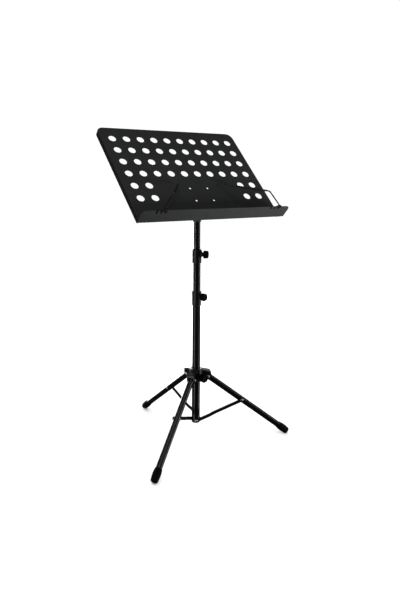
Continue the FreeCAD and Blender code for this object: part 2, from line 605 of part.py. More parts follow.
def page_clip(eye_x):
    """A spring clip over the ledge's front edge, with prongs under it and two pin ears."""
    low, high = CLIP_X - CLIP_HALF_WIDTH, CLIP_X + CLIP_HALF_WIDTH
    front = LEDGE_DEPTH + 0.1
    top_leaf = box((low, high), (0.0, CLIP_SHEET), (front - CLIP_LEAF, front + CLIP_SHEET))
    nose = box((low, high), (-SHEET - CLIP_SHEET, CLIP_SHEET), (front, front + CLIP_SHEET))
    prongs = []
    under, reach = (-SHEET - CLIP_SHEET, -SHEET), (front - PRONG_LENGTH, front + CLIP_SHEET)
    for start in (low, high - PRONG_WIDTH, CLIP_X - PRONG_WIDTH / 2.0):
        prongs.append(box((start, start + PRONG_WIDTH), under, reach))
    ears = []
    for start in (eye_x - EAR_THICKNESS - EAR_GAP, eye_x + EYE_LENGTH + EAR_GAP):
        ear = cylinder(EYE_R, V(start, HOLDER_U, HOLDER_N), X_AXIS, EAR_THICKNESS)
        stem = box((start, start + EAR_THICKNESS), (HOLDER_U, CLIP_SHEET), (front, HOLDER_N))
        ears.append(ear.fuse(stem))
    pin_hole = cylinder(HOLDER_PIN_R, V(low - 5.0, HOLDER_U, HOLDER_N), X_AXIS, THROUGH)
    return top_leaf.fuse([nose] + prongs + ears).cut(pin_hole).removeSplitter()


def page_pin(eye_x):
    start = eye_x - EAR_THICKNESS - EAR_GAP - HOLDER_PIN_HEAD
    length = EYE_LENGTH + 2.0 * (EAR_THICKNESS + EAR_GAP + HOLDER_PIN_HEAD) + EAR_GAP
    end = start + length - HOLDER_PIN_HEAD
    pin = cylinder(HOLDER_PIN_R, V(start, HOLDER_U, HOLDER_N), X_AXIS, length)
    head = cylinder(HOLDER_PIN_HEAD_R, V(start, HOLDER_U, HOLDER_N), X_AXIS, HOLDER_PIN_HEAD)
    tail = cylinder(HOLDER_PIN_HEAD_R, V(end, HOLDER_U, HOLDER_N), X_AXIS, HOLDER_PIN_HEAD)
    return pin.fuse([head, tail]).removeSplitter()


def build_pole():
    tube = vertical_tube(LOWER_R, LOWER_BOTTOM, LOWER_TOP)
    pin_hole = cylinder(PIN_R, BRACE_PIVOT, ACROSS * -1.0, THROUGH)
    pin_holes = [turn(pin_hole, azimuth) for azimuth in LEG_AZIMUTHS]
    screw_hole = turn(cylinder(INSERT_R, V(0, 0, LOWER_KNOB_Z), X_AXIS, THROUGH), LOWER_KNOB_AZ)
    export(tube.cut(pin_holes + [screw_hole]), "lower_tube")
    cap = cylinder(LOWER_R, V(0, 0, LOWER_BOTTOM - PLUG_CAP), Z_AXIS, PLUG_CAP)
    circles = [edge for edge in cap.Edges if isinstance(edge.Curve, Part.Circle)]
    rim = [edge for edge in circles if edge.Curve.Center.z < LOWER_BOTTOM - PLUG_CAP / 2.0]
    spigot = cylinder(LOWER_R - TUBE_WALL, V(0, 0, LOWER_BOTTOM), Z_AXIS, PLUG_SPIGOT)
    export(cap.makeFillet(PLUG_ROUND, rim).fuse(spigot).removeSplitter(), "lower_tube_plug")
    export(group([turn(brace_pivot_pin(), azimuth) for azimuth in LEG_AZIMUTHS]), "brace_pivot_pins")

    mouth_r = MIDDLE_R + 2.0 * GAP
    collar = clamp_collar(LOWER_COLLAR_R, LOWER_R, LOWER_COLLAR_Z, LOWER_KNOB_Z, LOWER_BOSS_END, mouth_r)
    export(turn(collar, LOWER_KNOB_AZ), "lower_collar")
    seat = LOWER_COLLAR_Z[1] - 1.0 - BUSH_LENGTH
    export(ring(LOWER_R, MIDDLE_R + RUN, V(0, 0, seat), Z_AXIS, BUSH_LENGTH), "lower_collar_bush")
    export(turn(threaded_insert(14.0, LOWER_BOSS_END, LOWER_KNOB_Z), LOWER_KNOB_AZ), "lower_collar_insert")
    export(turn(pad(MIDDLE_R + GAP, LOWER_KNOB_Z), LOWER_KNOB_AZ), "lower_clamp_pad")
    screw_start = MIDDLE_R + GAP + PAD_LENGTH + 0.1
    screw = clamp_screw(screw_start, LOWER_KNOB_START, SMALL_KNOB_LENGTH, LOWER_KNOB_Z)
    knob = lobed_knob(SMALL_KNOB_R, SMALL_KNOB_LENGTH, LOWER_KNOB_START, LOWER_KNOB_Z, SCREW_R)
    export(turn(screw, LOWER_KNOB_AZ), "lower_clamp_screw")
    export(turn(knob, LOWER_KNOB_AZ), "lower_clamp_knob")

    middle = vertical_tube(MIDDLE_R, MIDDLE_BOTTOM, MIDDLE_TOP)
    way = turn(cylinder(INSERT_R, V(0, 0, UPPER_KNOB_Z), X_AXIS, THROUGH), UPPER_KNOB_AZ)
    export(middle.cut(way), "middle_tube")
    outer = LOWER_R - TUBE_WALL - RUN
    export(tube_glide(MIDDLE_R, outer, MIDDLE_BOTTOM, 0.0), "middle_tube_glide")
    mouth_r = UPPER_R + 2.0 * GAP
    collar = clamp_collar(UPPER_COLLAR_R, MIDDLE_R, UPPER_COLLAR_Z, UPPER_KNOB_Z, UPPER_BOSS_END, mouth_r)
    export(turn(collar, UPPER_KNOB_AZ), "upper_collar")
    seat = UPPER_COLLAR_Z[1] - 1.0 - BUSH_LENGTH
    export(ring(MIDDLE_R, UPPER_R + RUN, V(0, 0, seat), Z_AXIS, BUSH_LENGTH), "upper_collar_bush")
    export(turn(threaded_insert(12.6, UPPER_BOSS_END, UPPER_KNOB_Z), UPPER_KNOB_AZ), "upper_collar_insert")
    export(turn(pad(UPPER_R + GAP, UPPER_KNOB_Z), UPPER_KNOB_AZ), "upper_clamp_pad")
    screw_start = UPPER_R + GAP + PAD_LENGTH + 0.1
    screw = clamp_screw(screw_start, UPPER_KNOB_START, SMALL_KNOB_LENGTH, UPPER_KNOB_Z)
    knob = lobed_knob(SMALL_KNOB_R, SMALL_KNOB_LENGTH, UPPER_KNOB_START, UPPER_KNOB_Z, SCREW_R)
    export(turn(screw, UPPER_KNOB_AZ), "upper_clamp_screw")
    export(turn(knob, UPPER_KNOB_AZ), "upper_clamp_knob")

    upper = vertical_tube(UPPER_R, UPPER_BOTTOM, UPPER_TOP)
    pin_hole = cylinder(SOCKET_PIN_R, V(0, -THROUGH, SOCKET_PIN_Z), ACROSS, 2.0 * THROUGH)
    export(upper.cut(pin_hole), "upper_tube")
    outer = MIDDLE_R - TUBE_WALL - RUN
    export(tube_glide(UPPER_R, outer, UPPER_BOTTOM - 0.2, RUN), "upper_tube_glide")


def build_tripod():
    export(tripod_hub(), "tripod_hub")
    export(hub_bush(), "tripod_hub_bush")
    export(turn(threaded_insert(HUB_BUSH_R, HUB_BOSS_END, HUB_KNOB_Z), HUB_KNOB_AZ), "tripod_hub_insert")
    export(turn(pad(LOWER_R + GAP, HUB_KNOB_Z), HUB_KNOB_AZ), "hub_clamp_pad")
    screw_start = LOWER_R + GAP + PAD_LENGTH + 0.6
    screw = clamp_screw(screw_start, HUB_KNOB_START, HUB_KNOB_LENGTH, HUB_KNOB_Z)
    knob = lobed_knob(HUB_KNOB_R, HUB_KNOB_LENGTH, HUB_KNOB_START, HUB_KNOB_Z, SCREW_R)
    export(turn(screw, HUB_KNOB_AZ), "hub_clamp_screw")
    export(turn(knob, HUB_KNOB_AZ), "hub_clamp_knob")
    export(group([turn(hub_pivot_pin(), azimuth) for azimuth in LEG_AZIMUTHS]), "hub_pivot_pins")
    for number, azimuth in enumerate(LEG_AZIMUTHS, 1):
        export(turn(leg_tube(), azimuth), "leg_tube_%d" % number)
        export(turn(foot(), azimuth), "foot_%d" % number)
        export(turn(leg_rivet(), azimuth), "leg_rivet_%d" % number)
        export(turn(brace(), azimuth), "brace_%d" % number)
        export(turn(brace_rivet(), azimuth), "brace_rivet_%d" % number)


def build_head():
    export(tilt_socket(), "tilt_socket")
    socket_pin = cylinder(SOCKET_PIN_R, V(0, -SOCKET_R, SOCKET_PIN_Z), ACROSS, 2.0 * SOCKET_R)
    export(socket_pin, "socket_pin")
    export(desk_bracket(), "desk_bracket")
    inner = TONGUE_HALF + 0.2
    washers = [friction_washer(inner, X_AXIS), friction_washer(-inner, X_AXIS * -1.0)]
    export(group(washers), "tilt_washers")
    export(tilt_bolt(), "tilt_bolt")
    export(tilt_knob(), "tilt_knob")
    export(tilt_knob_insert(), "tilt_knob_insert")


def build_desk():
    export(desk_panel(), "desk_panel")
    for side, eye_x, arm in (("right", RIGHT_EYE_X, RIGHT_ARM), ("left", LEFT_EYE_X, LEFT_ARM)):
        pieces = (
            ("page_wire_", page_wire(eye_x, arm)), ("page_sleeve_", page_sleeve(arm)),
            ("page_clip_", page_clip(eye_x)), ("page_pin_", page_pin(eye_x)),
        )
        for name, shape in pieces:
            placed = shape if side == "right" else mirror_x(shape)
            export(to_desk(placed), name + side)


build_pole()
build_tripod()
build_head()
build_desk()
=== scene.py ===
import json
import math

import bmesh
import bpy
from mathutils import Matrix, Vector
from mathutils.geometry import delaunay_2d_cdt

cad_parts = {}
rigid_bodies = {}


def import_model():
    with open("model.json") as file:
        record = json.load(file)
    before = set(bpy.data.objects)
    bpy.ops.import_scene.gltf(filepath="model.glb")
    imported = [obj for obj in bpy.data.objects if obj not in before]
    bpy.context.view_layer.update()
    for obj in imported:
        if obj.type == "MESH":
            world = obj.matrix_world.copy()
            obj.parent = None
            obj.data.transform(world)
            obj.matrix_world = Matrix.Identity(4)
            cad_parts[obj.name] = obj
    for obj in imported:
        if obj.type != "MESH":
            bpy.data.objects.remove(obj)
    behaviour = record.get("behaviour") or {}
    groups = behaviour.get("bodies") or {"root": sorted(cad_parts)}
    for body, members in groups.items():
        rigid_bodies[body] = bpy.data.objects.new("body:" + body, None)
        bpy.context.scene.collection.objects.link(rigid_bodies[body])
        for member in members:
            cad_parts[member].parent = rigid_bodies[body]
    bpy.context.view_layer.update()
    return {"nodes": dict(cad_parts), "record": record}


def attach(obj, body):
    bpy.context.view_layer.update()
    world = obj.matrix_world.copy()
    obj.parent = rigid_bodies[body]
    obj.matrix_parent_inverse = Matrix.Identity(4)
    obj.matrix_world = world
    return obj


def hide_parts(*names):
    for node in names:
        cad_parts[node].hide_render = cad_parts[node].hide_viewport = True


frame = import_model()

# Looks of a folding music stand. Shapes are in millimetres until piece() scales them.
MM = 0.001

# Tubes, collars and their knobs
LOWER_R, MIDDLE_R, UPPER_R = 12.7, 11.3, 9.9
LOWER_COLLAR = dict(radius=14.75, low=435.0, high=479.0, tube=LOWER_R, mouth=MIDDLE_R + 0.6,
                    azimuth=-84.0, knob_z=465.3, boss=23.5, knob=26.5)
UPPER_COLLAR = dict(radius=14.0, low=565.0, high=606.0, tube=MIDDLE_R, mouth=UPPER_R + 0.6,
                    azimuth=-48.0, knob_z=591.0, boss=17.2, knob=20.7)
BOSS_R, INSERT_R, SCREW_R = 7.5, 4.5, 3.0
RIB_HALF, RIB_INTO_TUBE = 3.6, 0.45
SEAT_GAP = 0.05
PAD_CLEAR, PAD_LENGTH, PAD_TO_SCREW = 0.3, 1.5, 0.1
SCREW_SHORT_OF_FACE, THREAD_PITCH, KNOB_LOBES = 4.0, 1.0, 7
SMALL_KNOB_R, SMALL_KNOB_LENGTH = 11.7, 14.0

# Tripod
LEG_AZIMUTHS = (-25.4, 94.6, -145.4)
LEG_R = 9.5
HUB_PIVOT = Vector((37.0, 0.0, 209.0))
RIVET_POINT = Vector((145.5, 0.0, 125.7))
BRACE_PIVOT = Vector((0.0, 0.0, 64.5))
HUB_R, HUB_LOW, HUB_HIGH, HUB_BORE = 20.0, 194.0, 235.0, 15.0
LUG_HALF, LUG_END, LUG_LOW, LUG_OUTER_TOP = 12.0, 46.0, 199.0, 226.0
SLOT_HALF, SLOT_INNER, SLOT_TOP, APRON_LOW = 9.8, 23.3, 222.8, 217.6
HUB_KNOB = dict(azimuth=-85.4, z=212.0, boss=28.5, start=31.0, radius=13.0, length=15.0)
HUB_BOSS_R = 9.0
BRACE_EYE_R, BRACE_HALF, BRACE_THICK = 6.0, 5.5, 2.5
POLE_SIDE, LEG_SIDE = LOWER_R + 0.4, LEG_R + 0.4
JOGGLE_START, JOGGLE_END = 44.0, 62.0
RIVET_HEAD_R, RIVET_HEAD_HEIGHT, RIVET_SHANK_R, POLE_PIN_START = 4.0, 1.5, 2.5, 10.6
FOOT_REACH, FOOT_LENGTH, FOOT_END_WALL = 333.15, 39.0, 5.0
FOOT_MOUTH_R, FOOT_END_R, FOOT_BULGE, FOOT_WIDEST = 11.0, 10.5, 1.45, 12.2
FOOT_END_ROUND, GRIP_GROOVE = 3.0, 0.28

# Head
TILT_Z, SOCKET_R, SOCKET_LOW, SOCKET_HIGH = 722.0, 12.5, 687.0, 709.0
TILT_KNOB_R, TILT_KNOB_LENGTH = 14.0, 15.0
TONGUE_HALF, TONGUE_R, TONGUE_FOOT = 9.0, 11.0, 9.5
BRACKET_HALF, CHEEK, CHEEK_EYE_R = 12.7, 2.0, 12.0
BRACKET_LOW, BRACKET_HIGH, WELD_U = 12.0, 60.0, (20.0, 52.0)

# Desk, in its own frame: x along it, u up the slope, n out of its face
FOLD_Y, FOLD_Z, DESK_TILT = -94.7, 700.7, 43.96
SHEET, BEND_R = 1.2, 1.5
PLATE_HALF, PLATE_HEIGHT, CORNER_R = 238.5, 362.7, 22.0
RIM_DEPTH, RIM_ROUND, RIM_LIP, RIM_TAPER = 15.0, 2.0, 0.4, 0.7
LEDGE_HALF, LEDGE_DEPTH, LEDGE_CORNER_R = 248.0, 45.0, 14.0
HOLE_R, PITCH_X, PITCH_U, FIRST_U = 11.0, 45.0, 46.35, 316.8
ROWS, FULL_ROWS, COLUMNS, SHORT_ROW_COLUMNS = 6, 4, 10, (0, 1, 8, 9)
SPARE_HOLE_R = 2.9
SPARE_HOLES = [(side * 30.0, u) for side in (1, -1) for u in (119.3, 71.6)]
CLIP_X, CLIP_HALF = 190.0, 15.5
RIGHT_EYE = Vector((196.0, -5.0, 50.5))
LEFT_EYE = Vector((182.0, -5.0, 50.5))
WIRE_R, EYE_R = 1.9, 3.4
COIL_R, COIL_TURNS, COIL_START, COIL_WIDTH = 3.15, 0.9, 1.8, 3.4
SLEEVE_R, SLEEVE_TIP_R, SLEEVE_TIP = 2.5, 3.0, 11.0
ARM_BEND = 60.0
CLIP_SHEET, CLIP_LEAF, PRONG_WIDTH = 0.8, 14.0, 4.0
EAR_THICK, EAR_STARTS = 2.0, (-2.4, 7.4)
RIGHT_ARM = [Vector(p) for p in (
    (158.5, 24, 84), (127, 60.5, 57), (101, 91.5, 36), (84, 116, 21.5), (72, 139, 9.5),
)]
LEFT_ARM = [Vector(p) for p in ((158.5, 24, 84), (116, 74, 47.5), (73, 125, 9.5))]

X, Y, Z = Vector((1, 0, 0)), Vector((0, 1, 0)), Vector((0, 0, 1))
DESK_FRAME = Matrix.Translation((0, FOLD_Y, FOLD_Z)) @ Matrix.Rotation(math.radians(DESK_TILT), 4, "X")
MIRROR = Matrix.Scale(-1, 4, X)
STRAIGHT = Matrix.Identity(4)


def turned(azimuth):
    return Matrix.Rotation(math.radians(azimuth), 4, "Z")


def from_nu(n, u, x):
    return Vector((x, u, n))


def from_un(u, n, x):
    return Vector((x, u, n))


def from_xu(x, u, n):
    return Vector((x, u, n))


def from_xn(x, n, u):
    return Vector((x, u, n))


def from_xz(x, z, y):
    return Vector((x, y, z))


def from_yz(y, z, x):
    return Vector((x, y, z))


# ---------------------------------------------------------------- materials

def add_node(tree, kind, inputs=None, **settings):
    made = tree.nodes.new(kind)
    for key, value in settings.items():
        setattr(made, key, value)
    for key, value in (inputs or {}).items():
        made.inputs[key].default_value = value
    return made


def noise(tree, coords, scale, detail, roughness):
    made = add_node(tree, "ShaderNodeTexNoise", {"Scale": scale, "Detail": detail, "Roughness": roughness})
    tree.links.new(coords.outputs["Object"], made.inputs["Vector"])
    return made.outputs["Fac"]


def remap(tree, value, low, high, to_low, to_high):
    ranges = {"From Min": low, "From Max": high, "To Min": to_low, "To Max": to_high}
    made = add_node(tree, "ShaderNodeMapRange", ranges)
    tree.links.new(value, made.inputs["Value"])
    return made.outputs["Result"]


def math_node(tree, operation, first, second):
    made = add_node(tree, "ShaderNodeMath", operation=operation)
    for socket, value in zip(made.inputs, (first, second)):
        if isinstance(value, float):
            socket.default_value = value
        else:
            tree.links.new(value, socket)
    return made.outputs["Value"]


def mix_colour(tree, factor, first, second):
    made = add_node(tree, "ShaderNodeMix", data_type="RGBA")
    tree.links.new(factor, made.inputs["Factor"])
    for socket, value in zip((made.inputs["A"], made.inputs["B"]), (first, second)):
        if isinstance(value, tuple):
            socket.default_value = value + (1.0,)
        else:
            tree.links.new(value, socket)
    return made.outputs["Result"]


def edge_mask(tree, radius):
    """1 on convex and concave edges and 0 on flats, from how far a rounded normal leans."""
    bevel = add_node(tree, "ShaderNodeBevel", {"Radius": radius}, samples=6)
    geometry = add_node(tree, "ShaderNodeNewGeometry")
    dot = add_node(tree, "ShaderNodeVectorMath", operation="DOT_PRODUCT")
    tree.links.new(bevel.outputs["Normal"], dot.inputs[0])
    tree.links.new(geometry.outputs["Normal"], dot.inputs[1])
    return remap(tree, dot.outputs["Value"], 0.985, 0.88, 0.0, 1.0)


def surface(name, dark, light, rough, grain, edge_wear_and_shade=None, metallic=0.0, specular=0.5):
    """A finish with mottled colour, uneven gloss, fine relief and tinted edges; a lighter edge tint stands
    for paint rubbed thin, a near-black one (the desk's) is painted shade and painted dark reflection.

    rough is (low, high); grain is (scale, height in metres); the edge tint argument is (colour, strength,
    radius).
    """
    material = bpy.data.materials.new(name)
    material.use_nodes = True
    tree = material.node_tree
    shader = tree.nodes["Principled BSDF"]
    coords = add_node(tree, "ShaderNodeTexCoord")

    mottle = noise(tree, coords, 14.0, 5.0, 0.6)
    speckle = noise(tree, coords, grain[0] * 0.5, 2.0, 0.5)
    broad = remap(tree, mottle, 0.3, 0.7, 0.0, 0.7)
    fine = remap(tree, speckle, 0.35, 0.65, 0.0, 0.3)
    colour = mix_colour(tree, math_node(tree, "ADD", broad, fine), dark, light)

    handling = noise(tree, coords, 38.0, 6.0, 0.65)
    roughness = remap(tree, handling, 0.3, 0.7, rough[0], rough[1])
    # Edge tint along the edge mask: a lighter colour stands for paint rubbed thin; the desk's near-black
    # colour is painted shade and painted dark reflection in its bends, creases, hole lips and along its rim.
    if edge_wear_and_shade:
        wear_and_shade_colour, strength, radius = edge_wear_and_shade
        patchy = remap(tree, noise(tree, coords, 120.0, 4.0, 0.7), 0.35, 0.7, 0.15, 1.0)
        wear_and_shade_mask = math_node(tree, "MULTIPLY", edge_mask(tree, radius), patchy)
        wear_and_shade_mask = math_node(tree, "MULTIPLY", wear_and_shade_mask, float(strength))
        colour = mix_colour(tree, wear_and_shade_mask, colour, wear_and_shade_colour)
        roughness = math_node(tree, "SUBTRACT", roughness, math_node(tree, "MULTIPLY", wear_and_shade_mask, 0.12))
    tree.links.new(colour, shader.inputs["Base Color"])
    tree.links.new(roughness, shader.inputs["Roughness"])

    relief = noise(tree, coords, grain[0], 3.0, 0.55)
    bump = add_node(tree, "ShaderNodeBump", {"Strength": 1.0, "Distance": grain[1]})
    tree.links.new(relief, bump.inputs["Height"])
    tree.links.new(bump.outputs["Normal"], shader.inputs["Normal"])
    shader.inputs["Metallic"].default_value = metallic
    shader.inputs["Specular IOR Level"].default_value = specular
    return material


def grey(value, warm=0.0):
    return (value * (1.0 + warm), value, value * (1.0 - warm))


SURFACES = {
    "tube_paint": surface("tube_paint", grey(0.0025), grey(0.0045), (0.15, 0.24), (900.0, 0.00002),
                          (grey(0.03), 0.5, 0.0006), specular=0.32),
    # The desk's edge tint (grey 0.003, strength 0.95) is painted shade and painted dark reflection on the
    # rim, the bends and the hole lips, not paint wear.
    "desk_paint": surface("desk_paint", grey(0.021, -0.03), grey(0.029, -0.03), (0.46, 0.6),
                          (1500.0, 0.00006), (grey(0.003), 0.95, 0.0016), specular=0.35),
    "brace_paint": surface("brace_paint", grey(0.003), grey(0.006), (0.3, 0.42), (1100.0, 0.00004),
                           (grey(0.06), 0.6, 0.0005), specular=0.3),
    "head_casting": surface("head_casting", grey(0.05), grey(0.08), (0.42, 0.55), (1300.0, 0.00008),
                            (grey(0.2), 0.4, 0.0006)),
    "bracket_paint": surface("bracket_paint", grey(0.008), grey(0.013), (0.36, 0.5), (1200.0, 0.00004),
                             (grey(0.08), 0.5, 0.0006), specular=0.4),
    "moulded_plastic": surface("moulded_plastic", grey(0.0035), grey(0.006), (0.32, 0.44), (2100.0, 0.00005),
                               (grey(0.03), 0.4, 0.0006), specular=0.35),
    "knob_plastic": surface("knob_plastic", grey(0.001), grey(0.002), (0.38, 0.52), (1900.0, 0.00005),
                            (grey(0.012), 0.4, 0.0005), specular=0.05),
    "nylon": surface("nylon", grey(0.5, 0.04), grey(0.62, 0.05), (0.45, 0.55), (1600.0, 0.00004)),
    "foot_rubber": surface("foot_rubber", grey(0.002), grey(0.004), (0.6, 0.75), (1700.0, 0.00008),
                           (grey(0.012), 0.5, 0.0008), specular=0.08),
    "sleeve_vinyl": surface("sleeve_vinyl", grey(0.004), grey(0.007), (0.34, 0.46), (1400.0, 0.00005),
                            specular=0.35),
    "rivet_steel": surface("rivet_steel", grey(0.70, 0.01), grey(0.80, 0.01), (0.2, 0.34), (1300.0, 0.00003),
                           metallic=1.0),
    "screw_steel": surface("screw_steel", grey(0.48, 0.01), grey(0.6, 0.01), (0.28, 0.42), (1500.0, 0.00003),
                           metallic=1.0),
    "insert_brass": surface("insert_brass", (0.62, 0.44, 0.2), (0.74, 0.56, 0.28), (0.3, 0.45),
                            (1500.0, 0.00003), metallic=1.0),
    "wire_steel": surface("wire_steel", grey(0.003), grey(0.006), (0.25, 0.4), (1500.0, 0.00002),
                          specular=0.35),
}


# ---------------------------------------------------------------- mesh building

def bridge(bm, low, high):
    count = max(len(low), len(high))
    if count == 1:
        return
    for index in range(count):
        after = (index + 1) % count
        if len(low) == 1:
            bm.faces.new((low[0], high[index], high[after]))
        elif len(high) == 1:
            bm.faces.new((low[index], low[after], high[0]))
        else:
            bm.faces.new((low[index], low[after], high[after], high[index]))


def loft(bm, rings):
    """Joins rings of points; an end ring is closed with one face, or with nothing if it is a point."""
    made = [[bm.verts.new(point) for point in ring] for ring in rings]
    for low, high in zip(made, made[1:]):
        bridge(bm, low, high)
    for ring in (made[0], made[-1]):
        if len(ring) > 2:
            bm.faces.new(ring)


def revolve(bm, profile, origin=(0, 0, 0), axis=Z, segments=64, hollow=False):
    """Turns (along, radius) points about an axis; hollow joins the last point to the first."""
    origin = Vector(origin)
    side = axis.orthogonal().normalized()
    other = axis.cross(side)
    angles = [2.0 * math.pi * index / segments for index in range(segments)]
    rings = []
    for along, radius in profile:
        centre = origin + axis * along
        if radius < 1e-4:
            rings.append([bm.verts.new(centre)])
        else:
            spokes = [side * math.cos(a) + other * math.sin(a) for a in angles]
            rings.append([bm.verts.new(centre + spoke * radius) for spoke in spokes])
    if hollow:
        rings.append(rings[0])
    for low, high in zip(rings, rings[1:]):
        bridge(bm, low, high)


def rounded(points, radius, steps=4, closed=False):
    """A path with its corners turned into arcs; radius is one number or one for each point."""
    points = [Vector(point) for point in points]
    count = len(points)
    path = []
    for index, corner in enumerate(points):
        size = radius[index] if isinstance(radius, (list, tuple)) else radius
        if size <= 0.0 or (not closed and index in (0, count - 1)):
            path.append(corner)
            continue
        before = points[index - 1] - corner
        after = points[(index + 1) % count] - corner
        turn = math.pi - before.angle(after)
        if turn < 0.01:
            path.append(corner)
            continue
        setback = min(size * math.tan(turn / 2.0), before.length * 0.48, after.length * 0.48)
        true_radius = setback / math.tan(turn / 2.0)
        inward = (before.normalized() + after.normalized()).normalized()
        centre = corner + inward * (true_radius / math.cos(turn / 2.0))
        first = corner + before.normalized() * setback - centre
        last = corner + after.normalized() * setback - centre
        for step in range(steps + 1):
            share = step / steps
            spoke = first * math.sin((1.0 - share) * turn) + last * math.sin(share * turn)
            path.append(centre + spoke / math.sin(turn))
    return path


def sweep(bm, path, radii, segments=16):
    """A round bar along a path; radii has one radius for each point."""
    rings = []
    normal = None
    for index, point in enumerate(path):
        tangent = (path[min(index + 1, len(path) - 1)] - path[max(index - 1, 0)]).normalized()
        if normal is None:
            normal = tangent.orthogonal()
        normal = (normal - tangent * normal.dot(tangent)).normalized()
        binormal = tangent.cross(normal)
        ring = []
        for step in range(segments):
            angle = 2.0 * math.pi * step / segments
            ring.append(point + (normal * math.cos(angle) + binormal * math.sin(angle)) * radii[index])
        rings.append(ring)
    loft(bm, rings)


def domed_bar(bm, path, radius, segments=16):
    """A round bar with domed ends."""
    first = (path[0] - path[1]).normalized()
    last = (path[-1] - path[-2]).normalized()
    dome = [(math.sin(math.radians(a)), math.cos(math.radians(a))) for a in (25, 50, 70, 84)]
    points = [path[0] + first * radius * (along - 1.0) for along, across in reversed(dome)]
    radii = [radius * across for along, across in reversed(dome)]
    start, end = path[0] - first * radius, path[-1] - last * radius
    points += [start] + list(path[1:-1]) + [end]
    radii += [radius] * len(path)
    points += [path[-1] + last * radius * (along - 1.0) for along, across in dome]
    radii += [radius * across for along, across in dome]
    sweep(bm, points, radii, segments)


def prism(bm, outline, low, high, place, soften=0.0, segments=2):
    """An outline of (a, b) points run from low to high; place(a, b, c) puts it in the piece's frame."""
    part = bmesh.new()
    loft(part, [[place(a, b, level) for a, b in outline] for level in (low, high)])
    if soften:
        sides = len(outline)
        caps = [edge for edge in part.edges if any(len(face.verts) == sides for face in edge.link_faces)]
        bmesh.ops.bevel(part, geom=caps, offset=soften, segments=segments, profile=0.5, affect="EDGES")
    absorb(bm, part)


def absorb(bm, part):
    """Moves the contents of part into bm."""
    bmesh.ops.recalc_face_normals(part, faces=part.faces)
    mesh = bpy.data.meshes.new("part")
    part.to_mesh(mesh)
    part.free()
    bm.from_mesh(mesh)
    bpy.data.meshes.remove(mesh)


def hull(points):
    """The convex outline of some (a, b) points, in order."""
    points = sorted(set((round(a, 4), round(b, 4)) for a, b in points))
    sides = []
    for ordered in (points, points[::-1]):
        chain = []
        for point in ordered:
            while len(chain) > 1 and (
                (chain[-1][0] - chain[-2][0]) * (point[1] - chain[-2][1])
                - (chain[-1][1] - chain[-2][1]) * (point[0] - chain[-2][0])
            ) <= 0:
                chain.pop()
            chain.append(point)
        sides += chain[:-1]
    return sides


def circle(a, b, radius, segments=40):
    turns = [2 * math.pi * index / segments for index in range(segments)]
    return [(a + radius * math.cos(turn), b + radius * math.sin(turn)) for turn in turns]


def temporary(bm):
    bmesh.ops.remove_doubles(bm, verts=bm.verts, dist=1e-4)
    bmesh.ops.recalc_face_normals(bm, faces=bm.faces)
    mesh = bpy.data.meshes.new("temporary")
    bm.to_mesh(mesh)
    bm.free()
    made = bpy.data.objects.new("temporary", mesh)
    bpy.context.scene.collection.objects.link(made)
    return made


def combined(base, joins=(), cuts=()):
    """base joined with some solids and cut by others, as a new bmesh."""
    body = temporary(base)
    tools = [(temporary(part), "UNION") for part in joins]
    tools += [(temporary(part), "DIFFERENCE") for part in cuts]
    for tool, operation in tools:
        modifier = body.modifiers.new("boolean", "BOOLEAN")
        modifier.operation = operation
        modifier.solver = "EXACT"
        modifier.object = tool
    bpy.context.view_layer.update()
    result = bpy.data.meshes.new_from_object(body.evaluated_get(bpy.context.evaluated_depsgraph_get()))
    for made in [body] + [tool for tool, operation in tools]:
        mesh = made.data
        bpy.data.objects.remove(made)
        bpy.data.meshes.remove(mesh)
    bm = bmesh.new()
    bm.from_mesh(result)
    bpy.data.meshes.remove(result)
    bmesh.ops.remove_doubles(bm, verts=bm.verts, dist=0.02)
    bmesh.ops.dissolve_degenerate(bm, edges=bm.edges, dist=0.01)
    return bm


def piece(name, bm, body, slot, nodes=(), matrix=STRAIGHT, sharp=38.0):
    """Turns a mesh made in mm into an object in metres that rides a body and replaces CAD nodes."""
    bm.transform(Matrix.Scale(MM, 4) @ matrix)
    bmesh.ops.remove_doubles(bm, verts=bm.verts, dist=1e-7)
    bmesh.ops.recalc_face_normals(bm, faces=bm.faces)
    flat = bm.faces.layers.int.get("flat")
    for face in bm.faces:
        face.smooth = not (flat and face[flat])
    mesh = bpy.data.meshes.new(name)
    bm.to_mesh(mesh)
    bm.free()
    mesh.set_sharp_from_angle(angle=math.radians(sharp))
    mesh.materials.append(SURFACES[slot])
    made = bpy.data.objects.new(name, mesh)
    bpy.context.scene.collection.objects.link(made)
    weighted = made.modifiers.new("weighted", "WEIGHTED_NORMAL")
    weighted.keep_sharp = True
    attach(made, body)
    if nodes:
        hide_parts(*nodes)


# ---------------------------------------------------------------- desk

CORNER_STEPS = 12


def rim_path(inset, n=0.0):
    """The rim's line at one depth; its lower ends start higher towards the back."""
    half, top, corner = PLATE_HALF - inset, PLATE_HEIGHT - inset, CORNER_R - inset
    start_u = BEND_R + max(0.0, -n - SHEET) * RIM_TAPER
    path = [(half, start_u)]
    for side, start in ((1, 0), (-1, 90)):
        for step in range(CORNER_STEPS + 1):
            angle = math.radians(start + 90.0 * step / CORNER_STEPS)
            x = side * (half - corner) + corner * math.cos(angle)
            path.append((x, top - corner + corner * math.sin(angle)))
    path.append((-half, start_u))
    return path


